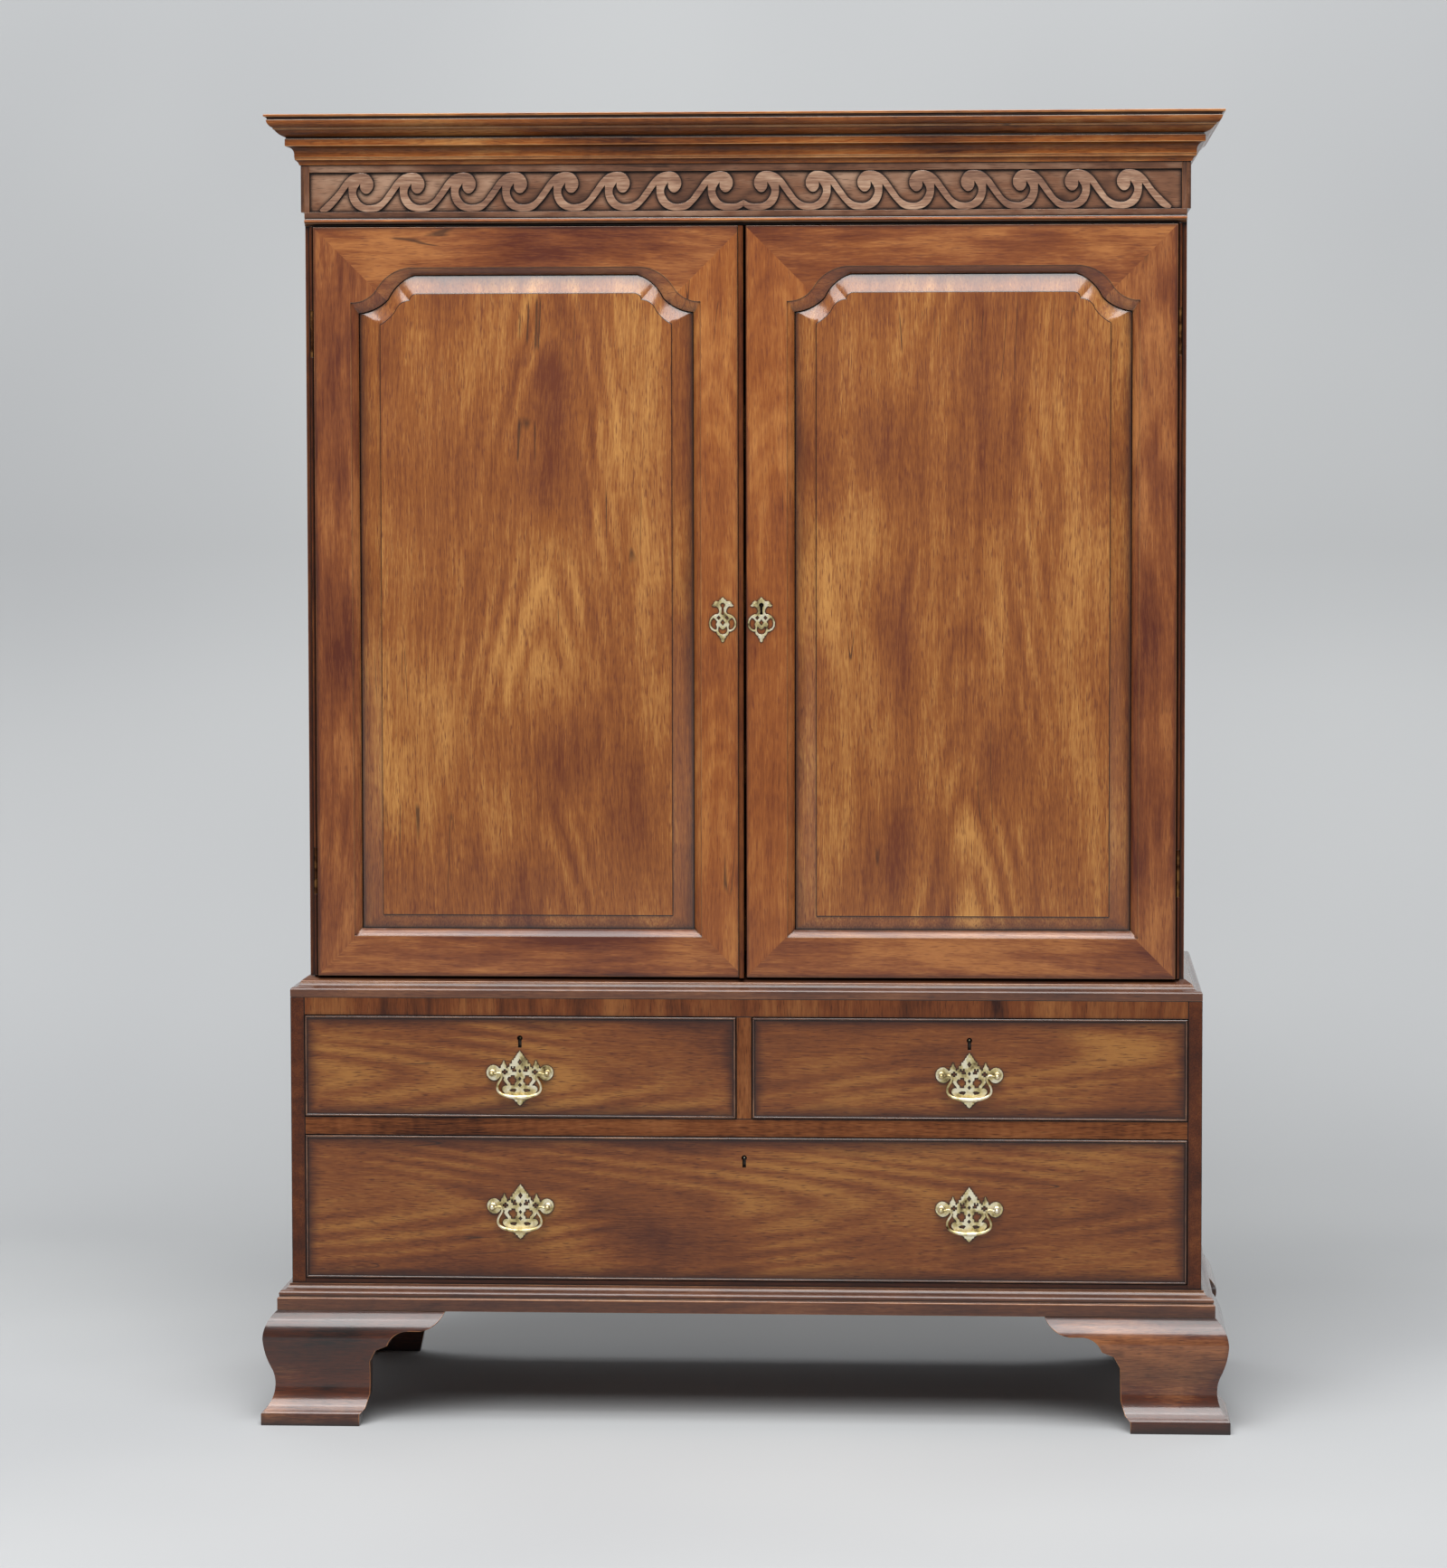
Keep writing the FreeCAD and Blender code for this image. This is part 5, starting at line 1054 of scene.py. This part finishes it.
    def bail(self) -> None:
        """Casts the bail as a swelling tube on a smooth line through both sockets."""
        data = bpy.data.curves.new(self.bail_node, "CURVE")
        data.dimensions, data.bevel_depth, data.bevel_resolution = "3D", MM, 5
        data.use_fill_caps, data.resolution_u = True, 6
        path = list(self.bail_path) + [(-x, z, r) for x, z, r in reversed(self.bail_path[:-1])]
        ahead = self.face - self.reach * MM
        line = draw_line(data, [(self.x + x * MM, ahead, self.z + z * MM) for x, z, _ in path],
                         ["AUTO"] * len(path))
        for knot, (_, _, radius) in zip(line.bezier_points, path):
            knot.radius = radius
        piece = joined(self.bail_node + "_cast", [solid_of(data)], Finish.BRASS)
        settle(piece, self.bail_node, "brass", self.bail_node)


@dataclass(frozen=True)
class Escutcheon:
    """A pierced keyhole plate: finial, leaves, neck, two side loops, lattice and pendant.

    Sizes in millimetres, apart from its place.
    """

    side: str
    x: float                     # keyhole's middle, metres
    z: float
    face: float                  # front of the door, metres
    thickness: float = 1.4
    pins: tuple[Point, ...] = ((-9.4, 2.2), (9.4, 2.2), (0.0, -45.6))
    edge: tuple[Point, ...] = (
        (0, 11.6), (1.3, 9.8), (2.4, 9.4), (2.6, 7.8), (4.4, 7.6), (4.8, 5.8), (7.0, 5.0), (9.6, 5.8),
        (12.0, 4.2), (12.8, 1.8), (15.6, -0.8), (13.0, -2.2), (9.6, -1.4), (7.0, -3.2), (5.2, -6.6),
        (4.9, -9.6), (6.4, -12.4), (10.4, -13.2), (14.6, -15.6), (17.8, -19.6), (19.4, -24.8),
        (18.8, -30.2), (15.8, -34.8), (11.8, -37.2), (8.6, -37.6), (8.4, -39.8), (6.8, -42.4),
        (4.2, -44.0), (4.8, -45.4), (2.8, -47.2), (2.1, -48.6), (2.2, -50.4), (1.2, -52.0), (0, -52.6))
    keyhole: tuple[Point, ...] = (
        (0, 3.5), (1.8, 3.0), (3.1, 1.7), (3.5, 0), (2.9, -1.8), (1.6, -3.2), (1.6, -8.6), (2.2, -12.4),
        (1.4, -13.6), (0, -13.7))
    small: tuple[Point, ...] = ((5.6, -14.6), (8.8, -17.8), (5.8, -21.2), (2.8, -17.6))
    loop: tuple[Point, ...] = (
        (10.6, -19.6), (13.4, -17.8), (16.0, -21.0), (17.1, -25.2), (16.6, -29.6), (14.2, -33.2),
        (10.9, -35.0), (8.8, -34.4), (8.2, -31.0), (9.6, -27.0), (7.6, -23.4))
    base: tuple[Point, ...] = ((0, -34.4), (2.2, -33.4), (5.4, -29.8), (6.4, -33.0), (6.2, -37.2),
                               (3.9, -40.6), (0, -41.7))

    def build(self) -> None:
        """Cuts the plate and pins it to the door."""
        holes = [lozenge(-24.6, 3.4, 4.8), mirrored(self.keyhole), mirrored(self.base)]
        holes += both_sides(self.small, self.loop)
        sheet = FretCut(f"{self.side}_keyhole_plate", mirrored(self.edge), holes, self.thickness, filed=0.3)
        parts = [sheet.make(self.x, self.face - self.thickness * MM, self.z)]
        head = [(radius, self.thickness + ahead)
                for radius, ahead in ((0.0, -0.4), (0.9, -0.4), (0.85, 0.25), (0.5, 0.45), (0.0, 0.5))]
        for x, z in self.pins:
            parts.append(turned("pin", head, (self.x + x * MM, self.face, self.z + z * MM), 12))
        piece = joined(f"{self.side}_keyhole_plate", parts, Finish.BRASS)
        settle(piece, f"{self.side}_door", "brass", f"{self.side}_escutcheon")


@dataclass(frozen=True)
class RunningWave:
    """Vitruvian scroll, fret-cut in two lengths that meet in a cusp. Sizes in millimetres."""

    pitch: float = 72.9
    waves: int = 8
    first: float = 31.3          # middle of the frieze to the first crest
    crest: float = 55.1
    relief: float = 4.0

    def half(self) -> tuple[list[Point], set[Point]]:
        """Draws the left-hand length as one closed line.

        Returns:
            Its points, and those where it turns sharply.
        """
        stem = [(-17.6, 19.0), (-9.6, 6.4), (3.0, 0.9), (12.0, 0.4)]
        head_foot = [(12.0, 9.6), (1.5, 11.8), (-5.6, 19.5), (-8.0, 29.0)]
        head = [(-1.4, 31.0), (5.9, 25.7), (13.6, 30.6), (16.4, 39.0), (13.6, 47.6), (8.0, 53.2),
                (0.0, self.crest), (-10.5, self.crest - 1.4)]
        tail = [(-36.0, 27.9), (-53.7, 10.0), (-60.6, 3.4), (-58.5, 0.6), (-48.9, 1.8), (-38.9, 10.4)]
        points: list[Point] = []
        cusps: set[Point] = set()

        def put(wave: int, run: Sequence[Point], sharp: Sequence[Point] = ()) -> None:
            """Adds points of one wave to the line.

            Args:
                wave: Its number, counted from the middle of the frieze.
                run: The points, measured from its crest.
                sharp: Those where the line turns sharply.
            """
            start = -self.first - wave * self.pitch
            points.extend((start + x, z) for x, z in run)
            cusps.update((start + x, z) for x, z in sharp)

        for wave in reversed(range(self.waves)):
            put(wave, [(-19.1, 36.0)], [(-19.1, 36.0)])
            put(wave, stem)
            put(wave, [(24.0, 2.2), (34.0, 10.4)] if wave else [(24.0, 1.6), (self.first, 6.0)],
                [] if wave else [(self.first, 6.0)])
        for wave in range(self.waves):
            put(wave, [(36.9, 27.9), (26.0, 14.6)] if wave else [(self.first, 15.0), (22.0, 10.4)],
                [] if wave else [(self.first, 15.0)])
            put(wave, head_foot)
            put(wave, [(-2.6, 39.7)], [(-2.6, 39.7)])
            put(wave, head)
            put(wave, [(-19.8, 48.5)])
        put(self.waves - 1, tail, [(-60.6, 3.4), (-58.5, 0.6)])
        return points, cusps

    def build(self) -> None:
        """Cuts both lengths and lays them on the frieze."""
        low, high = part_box("frieze_scroll")
        points, cusps = self.half()
        lengths = []
        for way in (1, -1):
            outline = [(way * x, z) for x, z in points]
            sheet = FretCut("wave", outline, [], self.relief, filed=0.45, soft=True,
                            cusps=frozenset((way * x, z) for x, z in cusps))
            lengths.append(sheet.make(0, low.y, low.z - 0.4 * MM))
        only(*lengths)
        bpy.ops.object.join()
        piece = lengths[0]
        piece.name = piece.data.name = "running_wave"
        piece.data.materials.append(Finish.SCROLL.material)
        mark_grain(piece, [(Grain.ACROSS, low, high)])
        finish_shading(piece, 40)
        settle(piece, "case", "mahogany", "frieze_scroll")


# ---- Cases ------------------------------------------------------------------------------------
@dataclass(frozen=True)
class LowerCase:
    """Chest with drawers on ogee bracket feet. Sizes in metres."""

    rail_top: float = 0.585      # height over which the rail is cross-banded
    upright: float = 0.5         # no upright is as wide
    bearer: float = 1.0          # no bearer under the bottom board is as wide
    bracket: float = 0.15        # no block behind a foot is as long
    bracket_height: float = 0.1

    def rails(self, board: Board) -> tuple[Finish, Grain]:
        """Cross-bands the top rail and runs the others' grain along them.

        Args:
            board: A rail or an upright.

        Returns:
            Its finish and grain.
        """
        if board.low.z > self.rail_top and board.size.x > self.upright:
            return Finish.BANDING, Grain.UPRIGHT
        return Finish.RAIL, board.longest

    def bottom(self, board: Board) -> tuple[Finish, Grain]:
        """Polishes the bottom board, whose edge shows under the drawer, and leaves its bearers bare."""
        return (Finish.CASE if board.size.x > self.bearer else Finish.OAK), board.longest

    def foot_blocks(self, board: Board) -> tuple[Finish, Grain]:
        """Polishes the brackets and leaves the blocks behind them bare.

        Args:
            board: A bracket or a block.

        Returns:
            Its finish and grain.
        """
        if max(board.size.x, board.size.y) > self.bracket and board.size.z > self.bracket_height:
            return Finish.FOOT, board.longest
        return Finish.OAK, Grain.UPRIGHT

    def build(self) -> None:
        """Dresses the case, its mouldings and its feet."""
        # The rounded edges of the case sides and rails carry painted shade.
        Dressing(Finish.CASE, arris=0.8, rubbed=Finish.WAXED).apply("base_side_left", "base_side_right")
        Dressing(Finish.MOULDING, arris=0.9).apply("waist_moulding", "plinth_moulding")
        Dressing(Finish.RAIL, arris=0.7, rule=self.rails, rubbed=Finish.WAXED).apply("drawer_rails")
        Dressing(Finish.CASE, arris=0.5, rule=self.bottom, rubbed=None).apply("base_bottom")
        Dressing(Finish.FOOT, arris=1.2, rule=self.foot_blocks).apply(
            "front_left_foot", "front_right_foot", "back_left_foot", "back_right_foot")
        BARE_OAK.apply("base_back", "base_top", "drawer_runners")


@dataclass(frozen=True)
class UpperCase:
    """Press with its frieze, cornice, panelled back and sliding linen trays."""

    trays: int = 4

    def build(self) -> None:
        """Dresses the carcase."""
        Dressing(Finish.CASE, arris=0.6).apply("press_side_left", "press_side_right")
        Dressing(Finish.CORNICE, arris=1.1, rubbed=Finish.CORNICE_ARRIS).apply("cornice", "frieze_astragal")
        Dressing(Finish.FRIEZE, arris=0.5).apply("frieze")
        RunningWave().build()
        BARE_OAK.apply("press_top", "press_back")
        Dressing(Finish.DRY, arris=0.4, rubbed=None).apply("press_bottom")
        paint(Finish.DARK_BRASS, "case_hinges")

    def fit_trays(self) -> None:
        """Dresses the linen trays."""
        trays = (f"linen_tray_{number}" for number in range(1, self.trays + 1))
        Dressing(Finish.DRY, "tray_mahogany", arris=0.6, rubbed=None).apply(*trays)


# ---- Doors and drawers ------------------------------------------------------------------------
@dataclass(frozen=True)
class Door:
    """A mitred frame round a raised and shouldered panel. Sizes in metres."""

    side: str
    key: float                   # middle of the keyhole
    key_height: float = 1.172
    face: float = -0.25115       # front of the frame
    meeting: float = 0.1         # a stile this near the middle meets the other door

    def frame_wood(self, board: Board) -> tuple[Finish, Grain]:
        """Gives the upright board nearest the middle of the press wood from a paler log."""
        meets = board.longest is Grain.UPRIGHT and abs(board.centre.x) < self.meeting
        return (Finish.STILE if meets else Finish.FRAME), board.longest

    def build(self) -> None:
        """Dresses the door and its fittings."""
        Dressing(Finish.FRAME, arris=0.6, rule=self.frame_wood).apply(f"{self.side}_door_frame")
        # The panel's rounded edges carry painted shade.
        Dressing(Finish.PANEL, arris=0.55, rubbed=Finish.FILLET).apply(f"{self.side}_door_panel")
        Escutcheon(self.side, self.key, self.key_height, self.face).build()
        paint(Finish.DARK_BRASS, f"{self.side}_door_hinges")
        if self.side == "left":
            Dressing(Finish.CASE, arris=0.0).apply("meeting_bead")
            paint(Finish.BRASS, "left_door_bolt_plates", "left_door_top_bolt", "left_door_bottom_bolt")
        else:
            paint(Finish.IRON, "right_door_lock")
            paint(Finish.BRASS, "right_door_lock_bolt")


@dataclass(frozen=True)
class Drawer:
    """A cock-beaded front on a dovetailed box, with its lock and pulls. Sizes in metres."""

    name: str
    pulls: tuple[Pull, ...]
    eye: Point                   # middle of the keyhole's round part
    lock_face: float = -0.25715
    bead: float = 0.012          # a thinner board of the front is a cock bead

    def drill_pin(self) -> None:
        """Turns the pin in the keyhole, over which the hollow key slides."""
        profile = [(0.0, 0.0), (1.3, 0.0), (1.3, 2.8), (0.9, 3.5), (0.0, 3.6)]
        pin = turned("pin", profile, (self.eye[0], self.lock_face, self.eye[1]), 16)
        settle(joined(f"{self.name}_drill_pin", [pin], Finish.BRASS), f"{self.name}_drawer", "brass")

    def front(self, board: Board) -> tuple[Finish, Grain]:
        """Runs the front's grain along it and gives the cock beads a wood of their own."""
        thin = min(board.size.x, board.size.z) < self.bead
        return (Finish.BEAD if thin else Finish.DRAWER), board.longest

    def build(self) -> None:
        """Dresses the drawer."""
        drawer = f"{self.name}_drawer"
        Dressing(Finish.DRAWER, arris=0.3, rule=self.front, rubbed=None, smooth=50).apply(drawer + "_front")
        BARE_OAK.apply(drawer + "_box")
        paint(Finish.IRON, drawer + "_lock", drawer + "_lock_bolt")
        self.drill_pin()
        castings = [part for pull in self.pulls for part in pull.fittings()]
        cast = joined(f"{self.name}_pull_castings", castings, Finish.BRASS)
        settle(cast, drawer, "brass", drawer + "_pulls")
        for pull in self.pulls:
            pull.bail()


# ---- The room ---------------------------------------------------------------------------------
@dataclass(frozen=True)
class Studio:
    """Pale sweep, soft lamps and the camera. Sizes in metres, angles in degrees."""

    floor: float = 9.0           # half the sweep's width
    wall: float = 2.6            # distance behind the press
    ceiling: float = 7.0
    foot: float = 1.2            # radius between floor and wall
    # Each lamp's name, place, aim, width and height, and power in watts.
    lamps: tuple = (("front_sky", (-0.4, -6.4, 6.6), (0, 0, 1.0), (6.8, 4.0), 540),
                    ("overhead", (0, -2.4, 5.4), (0, -0.2, 0.9), (5.0, 2.6), 190),
                    ("back_fill", (0, 2.1, 4.6), (0, 0.3, 0.9), (4.0, 1.6), 60))
    # The camera stands a little right of the middle, at eye height.
    stand: tuple[float, float, float] = (0.396, -7.29615, 1.389)
    turn: tuple[float, float, float] = (86.18, 0.10, 3.45)
    lens: float = 123.75         # millimetres, on a frame 36 mm wide

    def sweep(self) -> None:
        """Builds the floor and the wall as one sheet with a rounded foot."""
        only()
        bpy.ops.mesh.primitive_plane_add(size=2 * self.floor, location=(0, self.wall - self.floor, 0))
        sheet = bpy.context.object
        sheet.name = "sweep"
        bpy.ops.object.mode_set(mode="EDIT")
        bpy.ops.mesh.select_mode(type="EDGE")
        bpy.ops.mesh.select_all(action="DESELECT")
        bpy.ops.object.mode_set(mode="OBJECT")
        for edge in sheet.data.edges:
            edge.select = all(sheet.data.vertices[v].co.y > 0 for v in edge.vertices)
        bpy.ops.object.mode_set(mode="EDIT")
        bpy.ops.mesh.extrude_region_move(TRANSFORM_OT_translate={"value": (0, 0, self.ceiling)})
        bpy.ops.object.mode_set(mode="OBJECT")
        apply_modifier(sheet, "BEVEL", width=self.foot, segments=16, limit_method="ANGLE")
        bpy.ops.object.shade_smooth()
        bpy.ops.object.transform_apply()
        sheet.data.materials.append(self.paper())

    def paper(self) -> bpy.types.Material:
        """Makes the sweep's matt paper, clear from behind so that it never stands before the press.

        Returns:
            The paper as a node material.
        """
        made, tree = new_material("paper_sweep_matt")
        place = add_node(tree, "TexCoord").outputs["Object"]
        soft = add_node(tree, "TexNoise", {"Vector": place, "Scale": 0.7, "Detail": 2.0})
        tone = add_node(tree, "ValToRGB", (soft,), stops=[(0.3, "#bdbfc1"), (0.7, "#c8cacb")])
        # Only what the camera, metal and polish see of it is pale; it throws little light back up.
        seen = add_node(tree, "LightPath").outputs
        shown: Source = seen["Is Camera Ray"]
        for ray in ("Is Glossy Ray", "Is Transmission Ray"):
            shown = add_node(tree, "Math", (shown, seen[ray]), operation="MAXIMUM")
        paper = add_node(tree, "Mix", {0: shown, 6: "#76787a", 7: tone}, data_type="RGBA").outputs[2]
        shader = add_node(tree, "BsdfPrincipled", {
            "Base Color": paper, "Roughness": 0.9, "Specular IOR Level": 0.1})
        behind = add_node(tree, "NewGeometry").outputs["Backfacing"]
        sheer = add_node(tree, "MixShader", (behind, shader, add_node(tree, "BsdfTransparent")))
        add_node(tree, "OutputMaterial", (sheer,))
        return made

    def light(self) -> None:
        """Sets a level, soft light: a wide lamp high behind the camera, weaker ones overhead and behind."""
        world = bpy.data.worlds.new("soft_room")
        world.use_nodes = True
        tree = world.node_tree
        tree.nodes.clear()
        # The camera sees it as pale as the paper; its light on the press is weaker.
        seen = add_node(tree, "LightPath").outputs["Is Camera Ray"]
        level = add_node(tree, "MapRange", (seen, 0.0, 1.0, 0.30, 0.62))
        air = add_node(tree, "Background", ("#eef0f2", level))
        add_node(tree, "OutputWorld", (air,))
        bpy.context.scene.world = world
        for name, place, aim, size, power in self.lamps:
            data = bpy.data.lights.new(name, "AREA")
            data.shape, data.size, data.size_y, data.energy = "RECTANGLE", *size, power
            lamp = add_object(data)
            lamp.location = place
            lamp.rotation_euler = (Vector(aim) - Vector(place)).to_track_quat("-Z", "Y").to_euler()

    def camera(self) -> None:
        """Stands the camera up and looks through it."""
        data = bpy.data.cameras.new("camera")
        data.sensor_fit, data.sensor_width, data.lens, data.clip_end = "HORIZONTAL", 36, self.lens, 60
        camera = add_object(data)
        camera.location = self.stand
        camera.rotation_euler = [math.radians(angle) for angle in self.turn]
        bpy.context.scene.camera = camera

    def build(self) -> None:
        """Builds the whole room."""
        self.sweep()
        self.light()
        self.camera()
        bpy.context.scene.view_settings.view_transform = "Standard"


def main() -> None:
    """Builds the press, then the room."""
    logging.basicConfig(level=logging.INFO, format="%(message)s")
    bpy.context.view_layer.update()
    LowerCase().build()
    upper = UpperCase()
    upper.build()
    Door("left", -0.0302).build()
    Door("right", 0.0247).build()
    out, upper_row, lower_row = 0.3205, 0.5047, 0.3128   # places of the pulls, metres
    for side, x in (("left", -out), ("right", out)):
        Drawer(side, (Pull(side, x, upper_row),), (x, 0.5544)).build()
    Drawer("long", (Pull("long_left", -out, lower_row), Pull("long_right", out, lower_row)),
           (0.0, 0.3843)).build()
    upper.fit_trays()
    Studio().build()


if __name__ == "__main__":
    main()
